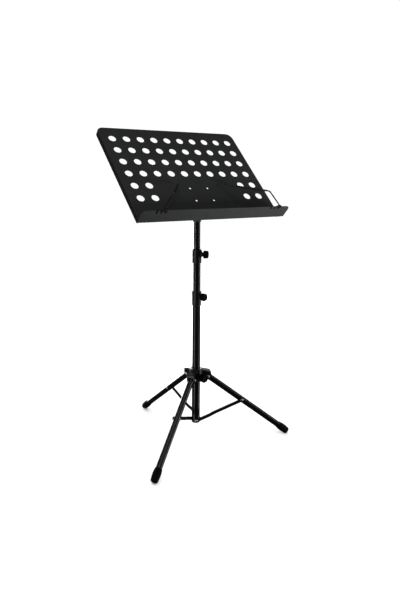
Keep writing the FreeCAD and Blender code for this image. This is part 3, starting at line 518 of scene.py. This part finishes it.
def rim_section():
    """(inset, n) points from the face's flat, round the turned-back rim, to the back's flat."""
    section = []
    for angle in (0, 22.5, 45, 67.5, 90):
        turn = math.radians(angle)
        section.append((RIM_ROUND * (1.0 - math.sin(turn)), -RIM_ROUND * (1.0 - math.cos(turn))))
    lip = [(0.0, RIM_LIP), (0.12, 0.12), (RIM_LIP, 0.0)]
    section += [(inset, -RIM_DEPTH + n) for inset, n in lip]
    section += [(SHEET - inset, -RIM_DEPTH + n) for inset, n in reversed(lip)]
    inner = RIM_ROUND - SHEET
    for angle in (90, 45, 0):
        turn = math.radians(angle)
        section.append((RIM_ROUND - inner * math.sin(turn), -RIM_ROUND + inner * math.cos(turn)))
    return section


def hole_section(radius, lip):
    """(radius, n) points through a punched hole with softened lips."""
    soft = lip * 0.3
    front = [(radius + lip, 0.0), (radius + soft, -soft), (radius, -lip)]
    back = [(r, -SHEET - n) for r, n in reversed(front)]
    return front + back


def hole_list():
    """(x, u, radius, lip, segments) for every punched hole."""
    holes = []
    for row in range(ROWS):
        for column in range(COLUMNS):
            if row < FULL_ROWS or column in SHORT_ROW_COLUMNS:
                x = (column - (COLUMNS - 1) / 2.0) * PITCH_X
                holes.append((x, FIRST_U - row * PITCH_U, HOLE_R, 0.45, 44))
    return holes + [(x, u, SPARE_HOLE_R, 0.25, 24) for x, u in SPARE_HOLES]


def desk_sheet():
    """The folded sheet: a punched face with its rim, the bend and the ledge."""
    bm = bmesh.new()
    flat = bm.faces.layers.int.new("flat")
    points, edges, front, back, spaces = [], [], [], [], []

    def add_loop(outline, face_ring, back_ring):
        first = len(points)
        points.extend(Vector(p) for p in outline)
        edges.extend((first + i, first + (i + 1) % len(outline)) for i in range(len(outline)))
        front.extend(face_ring)
        back.extend(back_ring)

    rings = []
    for inset, n in rim_section():
        rings.append([bm.verts.new((x, u, n)) for x, u in rim_path(inset, n)])
    for low, high in zip(rings, rings[1:]):
        for index in range(len(low) - 1):
            bm.faces.new((low[index], low[index + 1], high[index + 1], high[index]))
    for end in (0, -1):
        bm.faces.new([ring[end] for ring in rings])
    add_loop(rim_path(RIM_ROUND), rings[0], rings[-1])

    for x, u, radius, lip, segments in hole_list():
        angles = [2.0 * math.pi * index / segments for index in range(segments)]
        section = hole_section(radius, lip)
        made = []
        for r, n in section:
            made.append([bm.verts.new((x + r * math.cos(a), u + r * math.sin(a), n)) for a in angles])
        for low, high in zip(made, made[1:]):
            bridge(bm, low, high)
        widest = section[0][0]
        outline = [(x + widest * math.cos(a), u + widest * math.sin(a)) for a in angles]
        add_loop(outline, made[0], made[-1])
        spaces.append((x, u, widest * math.cos(math.pi / segments) - 0.001))

    verts, _, triangles, origins, _, _ = delaunay_2d_cdt(points, edges, [], 0, 1e-5)
    for triangle in triangles:
        middle = sum((verts[i] for i in triangle), Vector((0, 0))) / 3.0
        if any(math.hypot(middle.x - x, middle.y - u) < radius for x, u, radius in spaces):
            continue
        corners = [origins[i][0] for i in triangle]
        bm.faces.new([front[i] for i in corners])[flat] = 1
        bm.faces.new([back[i] for i in reversed(corners)])[flat] = 1
    bm.faces.new((rings[0][0], rings[-1][0], rings[-1][-1], rings[0][-1]))[flat] = 1

    section = [(BEND_R + SHEET, math.radians(a)) for a in range(180, 271, 15)]
    section += [(BEND_R, math.radians(a)) for a in range(270, 179, -15)]
    profile = [(BEND_R + r * math.cos(a), BEND_R + r * math.sin(a)) for r, a in section]
    prism(bm, profile, -PLATE_HALF, PLATE_HALF, from_nu)

    back_edge = BEND_R - 0.35
    corners = [
        (LEDGE_HALF, back_edge), (LEDGE_HALF, LEDGE_DEPTH),
        (-LEDGE_HALF, LEDGE_DEPTH), (-LEDGE_HALF, back_edge),
    ]
    outline = rounded(corners, [0.8, LEDGE_CORNER_R, LEDGE_CORNER_R, 0.8], 8, closed=True)
    prism(bm, [tuple(p) for p in outline], -SHEET, 0.0, from_xn, 0.35, 3)
    return bm


def tilt_point():
    """(u, n) of the tilt axis in the desk's frame."""
    rise = math.radians(DESK_TILT)
    back, up = -FOLD_Y, TILT_Z - FOLD_Z
    return back * math.cos(rise) + up * math.sin(rise), up * math.cos(rise) - back * math.sin(rise)


def desk_channel():
    """The pressed channel behind the desk: a base with spot-weld dimples and two cheeks."""
    u_axis, n_axis = tilt_point()
    bm = bmesh.new()
    cheek = [(BRACKET_HIGH, -SHEET), (BRACKET_LOW, -SHEET)]
    for step in range(30):
        angle = math.radians(-180.0 + 7.5 * step)
        cheek.append((u_axis + CHEEK_EYE_R * math.cos(angle), n_axis + CHEEK_EYE_R * math.sin(angle)))
    for start in (-BRACKET_HALF, BRACKET_HALF - CHEEK):
        prism(bm, cheek, start, start + CHEEK, from_un, 0.4, 2)
    face = -SHEET - CHEEK
    half = BRACKET_HALF - 0.2
    base = [(-half, BRACKET_LOW), (half, BRACKET_LOW), (half, BRACKET_HIGH), (-half, BRACKET_HIGH)]
    base = rounded(base, 2.0, 4, closed=True)
    prism(bm, [tuple(p) for p in base], face, -SHEET, from_xu, 0.4, 2)
    for u in WELD_U:
        revolve(bm, [(0.0, 3.4), (0.25, 3.2), (0.45, 2.5), (0.3, 1.6), (0.15, 0.0)], (0, u, face), -Z, 24)
        revolve(bm, [(0.0, 3.4), (-0.2, 3.0), (-0.2, 0.0)], (0, u, face), -Z, 24)
    return bm


# ---------------------------------------------------------------- head, collars and knobs

def lobed_knob(radius, length, start, height):
    """A moulded hand knob along +X: a neck, scalloped grip, softened rims and a sunk, ringed face."""
    bm = bmesh.new()
    end = start + length
    profile = [
        (start - 2.0, 0.5, 0.0), (start - 1.7, 0.53, 0.0), (start - 0.4, 0.53, 0.0), (start, 0.57, 0.1),
        (start + 0.05, 0.80, 0.5), (start + 0.4, 0.90, 0.8), (start + 1.1, 0.97, 0.95),
        (start + 2.2, 1.0, 1.0), (start + length * 0.5, 1.0, 1.0), (end - 2.4, 0.99, 1.0),
        (end - 1.2, 0.955, 0.95), (end - 0.5, 0.90, 0.8),
        (end - 0.12, 0.82, 0.55), (end, 0.74, 0.3), (end - 0.05, 0.66, 0.05), (end - 0.5, 0.60, 0.0),
        (end - 1.5, 0.57, 0.0), (end - 1.8, 0.53, 0.0), (end - 1.8, 0.40, 0.0), (end - 1.5, 0.36, 0.0),
        (end - 1.3, 0.30, 0.0), (end - 1.3, 0.12, 0.0), (end - 1.5, 0.10, 0.0), (end - 1.5, 0.0, 0.0),
    ]
    segments = KNOB_LOBES * 16
    rings = []
    for along, scale, depth in profile:
        if scale == 0.0:
            rings.append([Vector((along, 0, height))])
            continue
        ring = []
        for index in range(segments):
            angle = 2.0 * math.pi * index / segments
            scallop = (0.5 - 0.5 * math.cos(KNOB_LOBES * angle)) ** 2.4
            reach = radius * scale * (1.0 - 0.13 * depth * scallop)
            ring.append(Vector((along, reach * math.cos(angle), height + reach * math.sin(angle))))
        rings.append(ring)
    loft(bm, rings)
    return bm


def threaded_rod(start, end, height):
    """A screw shank along +X with a rolled thread."""
    bm = bmesh.new()
    segments, steps = 20, 8
    rings = []
    count = int((end - start) / THREAD_PITCH * steps)
    for step in range(count + 1):
        along = start + (end - start) * step / count
        taper = min(1.0, 0.86 + 0.14 * min(step, count - step) / steps)
        ring = []
        for index in range(segments):
            angle = 2.0 * math.pi * index / segments
            phase = (along / THREAD_PITCH - index / segments) % 1.0
            depth = 0.28 * (1.0 - abs(2.0 * phase - 1.0)) ** 1.3
            reach = SCREW_R * taper - depth
            ring.append(Vector((along, reach * math.cos(angle), height + reach * math.sin(angle))))
        rings.append(ring)
    loft(bm, rings)
    return bm


def boss(radius, low, high, height, recess_r, recess):
    """A screw boss along +X with a soft rim round the insert."""
    bm = bmesh.new()
    floor = high - recess
    profile = [(low, 0.0), (low, radius), (high, radius), (high, recess_r), (floor, recess_r), (floor, 0.0)]
    profile = rounded(profile, [0, 0, 1.0, 0.4, 0, 0], 4)
    revolve(bm, [tuple(p) for p in profile], (0, 0, height), X, 48)
    return bm


def collar(radius, low, high, tube, mouth, knob_z, boss_end):
    """A moulded clamp collar: a sleeve, its screw boss and the rib that runs up from it."""
    core = bmesh.new()
    outer = [
        (low, tube + SEAT_GAP), (low, radius - 0.25), (high - 2.4, radius), (high, radius - 0.9),
        (high, mouth), (high - 1.0, mouth), (high - 1.0, tube + SEAT_GAP),
    ]
    profile = rounded(outer, [0.3, 1.2, 1.2, 0.8, 0.4, 0, 0], 4, closed=True)
    revolve(core, [tuple(p) for p in profile], axis=Z, segments=72, hollow=True)
    rib = bmesh.new()
    root = tube + RIB_INTO_TUBE
    outline = [(root, knob_z - 2.0), (boss_end - 1.4, knob_z - 2.0), (boss_end - 1.4, knob_z + 1.5),
               (radius + 0.6, high - 3.0), (root, high - 3.0)]
    outline = rounded(outline, [0, 0, 2.0, 1.2, 0], 4, closed=True)
    prism(rib, [tuple(p) for p in outline], -RIB_HALF, RIB_HALF, from_xz, 0.7, 3)
    return combined(core, [boss(BOSS_R, tube + 0.8, boss_end, knob_z, INSERT_R + SEAT_GAP, 3.0), rib])


def tilt_head():
    """The head casting: a sleeve on the tube's end and a rounded tongue."""
    sleeve = bmesh.new()
    bore, floor = UPPER_R + SEAT_GAP, SOCKET_LOW + 4.0
    profile = [
        (SOCKET_LOW, bore), (SOCKET_LOW, SOCKET_R), (SOCKET_HIGH - 3.0, SOCKET_R),
        (SOCKET_HIGH, SOCKET_R - 2.0), (SOCKET_HIGH, 0.0), (floor, 0.0), (floor, bore),
    ]
    profile = rounded(profile, [0.4, 1.5, 3.0, 1.5, 0, 0, 0], 5)
    revolve(sleeve, [tuple(p) for p in profile], segments=64, hollow=True)
    tongue = bmesh.new()
    foot = SOCKET_HIGH - 6.0
    outline = hull([(-TONGUE_FOOT, foot), (TONGUE_FOOT, foot)] + circle(0.0, TILT_Z, TONGUE_R, 48))
    prism(tongue, outline, -TONGUE_HALF, TONGUE_HALF, from_yz, 1.2, 3)
    return combined(sleeve, [tongue])


# ---------------------------------------------------------------- tripod

LEG_DIRECTION = (RIVET_POINT - HUB_PIVOT).normalized()


def hub_body():
    """The sliding hub: a sleeve, three slotted lugs for the legs and a screw boss."""
    core = bmesh.new()
    profile = [(HUB_LOW, HUB_BORE), (HUB_LOW, HUB_R), (HUB_HIGH, HUB_R), (HUB_HIGH, HUB_BORE)]
    profile = rounded(profile, [0.4, 1.8, 2.2, 0.8], 5, closed=True)
    revolve(core, [tuple(p) for p in profile], segments=80, hollow=True)
    lugs, slots = [], []
    root, shoulder = HUB_BORE + 1.2, HUB_HIGH - 3.0
    outline = [
        (root, LUG_LOW), (LUG_END, LUG_LOW), (LUG_END, LUG_OUTER_TOP),
        (HUB_R - 1.0, shoulder), (root, shoulder),
    ]
    outline = [tuple(p) for p in rounded(outline, [0, 5.0, 4.0, 3.0, 0], 5, closed=True)]
    for azimuth in LEG_AZIMUTHS:
        lug = bmesh.new()
        prism(lug, outline, -LUG_HALF, LUG_HALF, from_xz, 1.3, 3)
        lug.transform(turned(azimuth))
        lugs.append(lug)
        slot = bmesh.new()
        below, beyond, apron = LUG_LOW - 20.0, LUG_END + 20.0, LUG_END - 2.0
        way = [
            (SLOT_INNER, below), (beyond, below), (beyond, APRON_LOW), (apron, APRON_LOW), (apron, SLOT_TOP),
            (SLOT_INNER, SLOT_TOP),
        ]
        prism(slot, way, -SLOT_HALF, SLOT_HALF, from_xz)
        slot.transform(turned(azimuth))
        slots.append(slot)
    screw_boss = boss(HUB_BOSS_R, root, HUB_KNOB["boss"], HUB_KNOB["z"], INSERT_R + SEAT_GAP, 3.0)
    screw_boss.transform(turned(HUB_KNOB["azimuth"]))
    return combined(core, lugs + [screw_boss], slots)


def brace_strip():
    """A flat strip with rounded ends and a joggle, built along +X from the pole to the leg."""
    length = (RIVET_POINT - BRACE_PIVOT).length
    stations = []
    eye = []
    for angle in (2, 15, 30, 45, 60):
        turn = math.radians(angle)
        eye.append((BRACE_EYE_R * math.cos(turn), BRACE_EYE_R * math.sin(turn)))
    stations += [(-along, reach) for along, reach in eye]
    stations += [(-1.0, BRACE_HALF), (20.0, BRACE_HALF)]
    stations += [(JOGGLE_START - 1.0 + step * 1.5, BRACE_HALF) for step in range(14)]
    stations += [(90.0, BRACE_HALF), (length - 20.0, BRACE_HALF), (length + 1.0, BRACE_HALF)]
    stations += [(length + along, reach) for along, reach in reversed(eye)]
    bm = bmesh.new()
    rings = []
    for along, reach in stations:
        share = min(1.0, max(0.0, (along - JOGGLE_START) / (JOGGLE_END - JOGGLE_START)))
        near = POLE_SIDE + (LEG_SIDE - POLE_SIDE) * share * share * (3.0 - 2.0 * share)
        far = near + BRACE_THICK
        soft = min(0.5, reach * 0.4)
        half = min(reach, BRACE_HALF)
        corners = [(-near, half), (-far, half), (-far, -half), (-near, -half)]
        section = rounded(corners, soft, 3, closed=True)
        rings.append([Vector((along, y, z)) for y, z in section])
    loft(bm, rings)
    rise = math.atan2(RIVET_POINT.z - BRACE_PIVOT.z, RIVET_POINT.x)
    bm.transform(Matrix.Translation(BRACE_PIVOT) @ Matrix.Rotation(-rise, 4, "Y"))
    return bm


def foot_boot():
    """A barrel-shaped rubber boot with a lipped mouth, grip rings and a sole worn flat to the floor."""
    mouth, end = FOOT_REACH - FOOT_LENGTH, FOOT_REACH
    bore, bore_end = LEG_R + 0.02, end - FOOT_END_WALL
    profile = [
        (bore_end, 0.0), (bore_end, bore), (mouth + 0.1, bore), (mouth, LEG_R + 0.35), (mouth + 0.2, 10.7),
        (mouth + 0.9, 11.15), (mouth + 2.6, 11.25), (mouth + 3.4, 11.0), (mouth + 4.2, 11.25),
    ]
    start, stop = mouth + 5.5, end - FOOT_END_ROUND
    for step in range(25):
        share = step / 24.0
        along = start + (stop - start) * share
        whole = (along - mouth - 1.5) / (stop - mouth - 1.5)
        taper = FOOT_MOUTH_R + (FOOT_END_R - FOOT_MOUTH_R) * whole
        radius = taper + FOOT_BULGE * 4.0 * whole * (1.0 - whole)
        groove = GRIP_GROOVE if step in (16, 19, 22) else 0.0
        profile.append((along, min(radius, FOOT_WIDEST) - groove))
    for angle in (15, 30, 45, 60, 75, 90):
        turn = math.radians(angle)
        along = stop + FOOT_END_ROUND * math.sin(turn)
        profile.append((along, FOOT_END_R - FOOT_END_ROUND + FOOT_END_ROUND * math.cos(turn)))
    profile += [(end, 5.0), (end - 0.3, 4.6), (end - 0.3, 0.0)]
    bm = bmesh.new()
    revolve(bm, profile, HUB_PIVOT, LEG_DIRECTION, 64)
    everything = bm.verts[:] + bm.edges[:] + bm.faces[:]
    cut = bmesh.ops.bisect_plane(
        bm, geom=everything, plane_co=(0, 0, 0), plane_no=(0, 0, -1), clear_outer=True,
    )
    rim = [item for item in cut["geom_cut"] if isinstance(item, bmesh.types.BMEdge)]
    bmesh.ops.contextual_create(bm, geom=rim)
    return bm


def rivet_head(bm, face, direction):
    """A pressed rivet head: a soft rim, a dome and a small set mark."""
    radius, height = RIVET_HEAD_R, RIVET_HEAD_HEIGHT
    profile = [
        (-0.3, 0.0), (-0.3, radius - 0.3), (0.0, radius - 0.05), (0.25, radius), (0.5, radius * 0.97),
        (0.9, radius * 0.84), (1.2, radius * 0.66), (height - 0.08, radius * 0.46), (height, radius * 0.26),
        (height - 0.05, radius * 0.2), (height - 0.22, radius * 0.14), (height - 0.25, 0.0),
    ]
    revolve(bm, profile, face, direction, 32)


def rivet_shank(bm, origin, direction, low, high):
    profile = [(low, 0.0), (low, RIVET_SHANK_R), (high, RIVET_SHANK_R), (high, 0.0)]
    revolve(bm, profile, origin, direction, 24)


# ---------------------------------------------------------------- page holders

def holder_path(eye, arm):
    """The wire's line: a turn round the pin, a riser, and the long arm."""
    exit_slope = Vector((0.0, arm[0].y - eye.y, arm[0].z - eye.z)).normalized()
    exit_angle = math.atan2(exit_slope.z, exit_slope.y)
    steps = 36
    coil = []
    for step in range(steps + 1):
        share = step / steps
        angle = exit_angle - math.pi / 2.0 - (1.0 - share) * COIL_TURNS * 2.0 * math.pi
        x = eye.x + COIL_START + share * COIL_WIDTH
        coil.append(Vector((x, eye.y + COIL_R * math.cos(angle), eye.z + COIL_R * math.sin(angle))))
    lead = coil[-1] + exit_slope * 4.0
    bends = [0, 4.0, 9.0] + [ARM_BEND] * (len(arm) - 2) + [0]
    tail = rounded([coil[-1], lead] + arm, bends, 8)
    return coil + tail[1:]


def page_arm(eye, arm):
    bm = bmesh.new()
    domed_bar(bm, holder_path(eye, arm), WIRE_R, 18)
    return bm


def arm_sleeve(arm):
    """A soft sleeve over the arm with a flared mouth and a thicker, rounded tip."""
    first = arm[0] + (arm[1] - arm[0]).normalized() * 9.0
    end = arm[-1] + (arm[-1] - arm[-2]).normalized() * 2.0
    base = rounded([first] + arm[1:-1] + [end], [0] + [ARM_BEND] * (len(arm) - 2) + [0], 8)
    path, radii = [], []
    total = sum((b - a).length for a, b in zip(base, base[1:]))
    spacing = 1.5
    count = int(total / spacing)
    for step in range(count + 1):
        along = total * step / count
        point = base[-1].copy()
        remaining = along
        for a, b in zip(base, base[1:]):
            span = (b - a).length
            if remaining <= span:
                point = a.lerp(b, remaining / span)
                break
            remaining -= span
        path.append(point)
        left = total - along
        tip = min(1.0, max(0.0, (SLEEVE_TIP - left) / 3.0))
        radius = SLEEVE_R + (SLEEVE_TIP_R - SLEEVE_R) * tip * tip * (3.0 - 2.0 * tip)
        if along < 2.0:
            radius += 0.12
        radii.append(radius)
    direction = (path[-1] - path[-2]).normalized()
    last = path.pop()
    radii.pop()
    for angle in (0, 25, 50, 70, 84):
        turn = math.radians(angle)
        path.append(last - direction * SLEEVE_TIP_R * (1.0 - math.sin(turn)) * 0.5)
        radii.append(SLEEVE_TIP_R * math.cos(turn))
    bm = bmesh.new()
    sweep(bm, path, radii, 20)
    return bm


def ribbon(bm, path, thickness, low, high):
    """A bent strip: a path of (n, u) points with a thickness, run along x."""
    path = [Vector(p) for p in path]
    near, far = [], []
    for index, point in enumerate(path):
        tangent = (path[min(index + 1, len(path) - 1)] - path[max(index - 1, 0)]).normalized()
        side = Vector((-tangent.y, tangent.x)) * (thickness / 2.0)
        near.append(tuple(point + side))
        far.append(tuple(point - side))
    prism(bm, near + far[::-1], low, high, from_nu, 0.12, 2)


def spring_clip(eye):
    """The clip over the ledge's edge: a leaf with a rolled nose, three prongs below and two pin ears."""
    bm = bmesh.new()
    front = LEDGE_DEPTH + 0.1 + CLIP_SHEET / 2.0
    top, under = CLIP_SHEET / 2.0, -SHEET - CLIP_SHEET / 2.0
    low, high = CLIP_X - CLIP_HALF, CLIP_X + CLIP_HALF
    leaf = [(front - CLIP_LEAF, top + 0.5), (front - 12.5, top), (front, top), (front, under + 0.4)]
    ribbon(bm, rounded(leaf, [0, 2.0, 0.9, 0], 5), CLIP_SHEET, low, high)
    prong = [(front, -0.3), (front, under), (front - 9.6, under), (front - 10.9, under - 0.6)]
    prong = rounded(prong, [0, 0.9, 2.0, 0], 5)
    for start in (low, CLIP_X - PRONG_WIDTH / 2.0, high - PRONG_WIDTH):
        ribbon(bm, prong, CLIP_SHEET, start, start + PRONG_WIDTH)
    ear = hull([(front, 0.7), (front, -4.0)] + circle(eye.z, eye.y, EYE_R, 28))
    for offset in EAR_STARTS:
        prism(bm, ear, eye.x + offset, eye.x + offset + EAR_THICK, from_nu, 0.25, 2)
    return bm


def clip_pin(eye):
    """A plain pin through both ears, with a rounded head at each end."""
    bm = bmesh.new()
    start, end = eye.x - 3.0, eye.x + 10.4
    profile = [
        (start, 0.0), (start, 1.7), (start + 0.3, 2.0), (start + 0.6, 1.9), (start + 0.6, 1.2),
        (end - 0.6, 1.2), (end - 0.6, 1.9), (end - 0.3, 2.0), (end, 1.7), (end, 0.0),
    ]
    revolve(bm, profile, (0, eye.y, eye.z), X, 24)
    return bm


# ---------------------------------------------------------------- the stand

def build_desk():
    piece("desk_sheet", desk_sheet(), "desk", "desk_paint", ["desk_panel"], DESK_FRAME)
    piece("desk_channel", desk_channel(), "desk", "bracket_paint", ["desk_bracket"], DESK_FRAME)
    for side, matrix, eye, arm in (
        ("right", DESK_FRAME, RIGHT_EYE, RIGHT_ARM), ("left", DESK_FRAME @ MIRROR, LEFT_EYE, LEFT_ARM),
    ):
        holder = "page_holder_" + side
        piece("page_arm_" + side, page_arm(eye, arm), holder, "wire_steel", ["page_wire_" + side], matrix)
        piece("arm_sleeve_" + side, arm_sleeve(arm), holder, "sleeve_vinyl", ["page_sleeve_" + side], matrix)
        piece("spring_clip_" + side, spring_clip(eye), "desk", "wire_steel", ["page_clip_" + side], matrix)
        piece("clip_pin_" + side, clip_pin(eye), "desk", "screw_steel", ["page_pin_" + side], matrix)


def build_clamps():
    for prefix, body, clamp, spec in (
        ("lower", "pole_base", "lower_clamp", LOWER_COLLAR),
        ("upper", "middle_stage", "upper_clamp", UPPER_COLLAR),
    ):
        around = turned(spec["azimuth"])
        made = collar(spec["radius"], spec["low"], spec["high"], spec["tube"], spec["mouth"],
                      spec["knob_z"], spec["boss"])
        piece("clamp_sleeve_" + prefix, made, body, "moulded_plastic", [prefix + "_collar"], around, 30.0)
        inner = {"lower": MIDDLE_R, "upper": UPPER_R}[prefix] + PAD_CLEAR + PAD_LENGTH + PAD_TO_SCREW
        rod = threaded_rod(inner, spec["knob"] + SMALL_KNOB_LENGTH - SCREW_SHORT_OF_FACE, spec["knob_z"])
        piece("clamp_thread_" + prefix, rod, clamp, "screw_steel", [prefix + "_clamp_screw"], around, 70.0)
        knob = lobed_knob(SMALL_KNOB_R, SMALL_KNOB_LENGTH, spec["knob"], spec["knob_z"])
        piece("hand_knob_" + prefix, knob, clamp, "knob_plastic", [prefix + "_clamp_knob"], around, 50.0)


def build_tripod():
    piece("hub_casting", hub_body(), "hub", "moulded_plastic", ["tripod_hub"], sharp=30.0)
    around = turned(HUB_KNOB["azimuth"])
    rod_end = HUB_KNOB["start"] + HUB_KNOB["length"] - SCREW_SHORT_OF_FACE
    rod = threaded_rod(LOWER_R + 2.4, rod_end, HUB_KNOB["z"])
    piece("hub_thread", rod, "hub_clamp", "screw_steel", ["hub_clamp_screw"], around, 70.0)
    knob = lobed_knob(HUB_KNOB["radius"], HUB_KNOB["length"], HUB_KNOB["start"], HUB_KNOB["z"])
    piece("hand_knob_hub", knob, "hub_clamp", "knob_plastic", ["hub_clamp_knob"], around, 50.0)
    for number, azimuth in enumerate(LEG_AZIMUTHS, 1):
        matrix = turned(azimuth)
        leg, arm = "leg_%d" % number, "brace_arm_%d" % number
        piece("rubber_boot_%d" % number, foot_boot(), leg, "foot_rubber", ["foot_%d" % number], matrix)
        piece("brace_strip_%d" % number, brace_strip(), arm, "brace_paint", ["brace_%d" % number], matrix)
        head = bmesh.new()
        rivet_head(head, RIVET_POINT - Y * (LEG_SIDE + BRACE_THICK), -Y)
        rivet_shank(head, RIVET_POINT - Y * LEG_SIDE, -Y, 0.0, BRACE_THICK)
        nodes = ["brace_rivet_%d" % number]
        piece("brace_rivet_head_%d" % number, head, arm, "rivet_steel", nodes, matrix)
    heads = bmesh.new()
    for azimuth in LEG_AZIMUTHS:
        part = bmesh.new()
        for side in (-1.0, 1.0):
            rivet_head(part, HUB_PIVOT + Y * side * LUG_HALF, Y * side)
        rivet_shank(part, HUB_PIVOT, Y, -LUG_HALF, LUG_HALF)
        part.transform(turned(azimuth))
        absorb(heads, part)
    piece("hub_rivets", heads, "hub", "rivet_steel", ["hub_pivot_pins"])
    heads = bmesh.new()
    for azimuth in LEG_AZIMUTHS:
        part = bmesh.new()
        outer = POLE_SIDE + BRACE_THICK + 0.2
        rivet_head(part, BRACE_PIVOT - Y * outer, -Y)
        rivet_shank(part, BRACE_PIVOT, -Y, POLE_PIN_START, outer)
        part.transform(turned(azimuth))
        absorb(heads, part)
    piece("brace_pivot_rivets", heads, "pole_base", "rivet_steel", ["brace_pivot_pins"])


def build_head():
    piece("tilt_head", tilt_head(), "upper_stage", "head_casting", ["tilt_socket"], sharp=30.0)
    knob = lobed_knob(TILT_KNOB_R, TILT_KNOB_LENGTH, BRACKET_HALF + 2.3, TILT_Z)
    piece("hand_knob_tilt", knob, "tilt_clamp", "knob_plastic", ["tilt_knob"], sharp=50.0)


def finish_cad_nodes():
    """Gives the CAD nodes that stay in view the finish of their record slot."""
    for part in frame["record"]["subparts"]:
        node = frame["nodes"].get(part.get("node", part.get("name")))
        slot = part.get("material_slot", part.get("slot"))
        if node is None or node.hide_render:
            continue
        for place in node.material_slots:
            place.link = "OBJECT"
            place.material = SURFACES[slot]


# ---------------------------------------------------------------- stage

def build_stage():
    bpy.ops.mesh.primitive_plane_add(size=40.0, location=(0, 0, 0))
    floor = bpy.context.object
    floor.name = "studio_floor"
    paint = surface("floor_paint", grey(0.86), grey(0.88), (0.7, 0.8), (300.0, 0.00005), specular=0.1)
    floor.data.materials.append(paint)
    floor.visible_glossy = False
    floor.visible_diffuse = False
    floor.visible_shadow = False
    return floor


def soft_light(name, location, size, power, target=(0, 0, 0.5)):
    data = bpy.data.lights.new(name, "AREA")
    data.shape = "RECTANGLE"
    data.size, data.size_y = size
    data.energy = power
    made = bpy.data.objects.new(name, data)
    bpy.context.scene.collection.objects.link(made)
    made.location = location
    aim = Vector(target) - Vector(location)
    made.rotation_euler = aim.to_track_quat("-Z", "Y").to_euler()
    return made


def build_lights(floor):
    """Side strips and a fill each light only some pieces; the white surround is seen by the camera alone."""
    wash = bpy.data.lights.new("floor_wash", "SUN")
    wash.energy = 3.6
    wash.angle = math.radians(150)
    wash_object = bpy.data.objects.new("floor_wash", wash)
    bpy.context.scene.collection.objects.link(wash_object)
    only_floor = bpy.data.collections.new("floor_only")
    only_floor.objects.link(floor)
    wash_object.light_linking.receiver_collection = only_floor
    strips = [
        soft_light("strip_left", (-2.55, -0.35, 0.3), (0.22, 3.6), 30.0),
        soft_light("strip_right", (2.3, -1.5, 0.3), (0.3, 3.6), 34.0),
    ]
    soft_light("overhead", (-0.6, -1.2, 3.2), (2.2, 2.2), 24.0)
    soft_light("back_fill", (0.5, 2.0, 0.35), (1.8, 1.6), 85.0, (0.0, 0.0, 0.7))
    under = soft_light("under_fill", (0.5, -0.85, 0.4), (0.6, 0.5), 15.0, (0.1, -0.1, 0.72))
    sheet_only = bpy.data.collections.new("sheet_only")
    not_sheet = bpy.data.collections.new("not_sheet")
    for item in bpy.context.scene.objects:
        if item.type != "MESH" or item == floor:
            continue
        if item.name in ("desk_sheet", "desk_channel"):
            sheet_only.objects.link(item)
        else:
            not_sheet.objects.link(item)
    under.light_linking.receiver_collection = sheet_only
    for strip in strips:
        strip.light_linking.receiver_collection = not_sheet

    world = bpy.data.worlds.new("studio")
    bpy.context.scene.world = world
    world.use_nodes = True
    tree = world.node_tree
    background = tree.nodes["Background"]
    background.inputs["Color"].default_value = (1.0, 1.0, 1.0, 1.0)
    seen = add_node(tree, "ShaderNodeLightPath")
    strength = remap(tree, seen.outputs["Is Camera Ray"], 0.0, 1.0, 0.05, 1.05)
    tree.links.new(strength, background.inputs["Strength"])
    bpy.context.scene.view_settings.view_transform = "Standard"


def build_camera():
    data = bpy.data.cameras.new("camera")
    data.lens = 34.07
    data.sensor_width = 36.0
    data.clip_start, data.clip_end = 0.05, 100.0
    made = bpy.data.objects.new("camera", data)
    bpy.context.scene.collection.objects.link(made)
    right = Vector((0.83235836, -0.55418422, 0.00770806))
    up = Vector((0.11463641, 0.18575189, 0.97588664))
    back = Vector((-0.54225276, -0.81140377, 0.21814183))
    matrix = Matrix((right, up, back)).transposed().to_4x4()
    matrix.translation = Vector((-0.923045, -1.400309, 0.826307))
    made.matrix_world = matrix
    bpy.context.scene.camera = made


build_camera()
build_desk()
build_clamps()
build_tripod()
build_head()
finish_cad_nodes()
build_lights(build_stage())
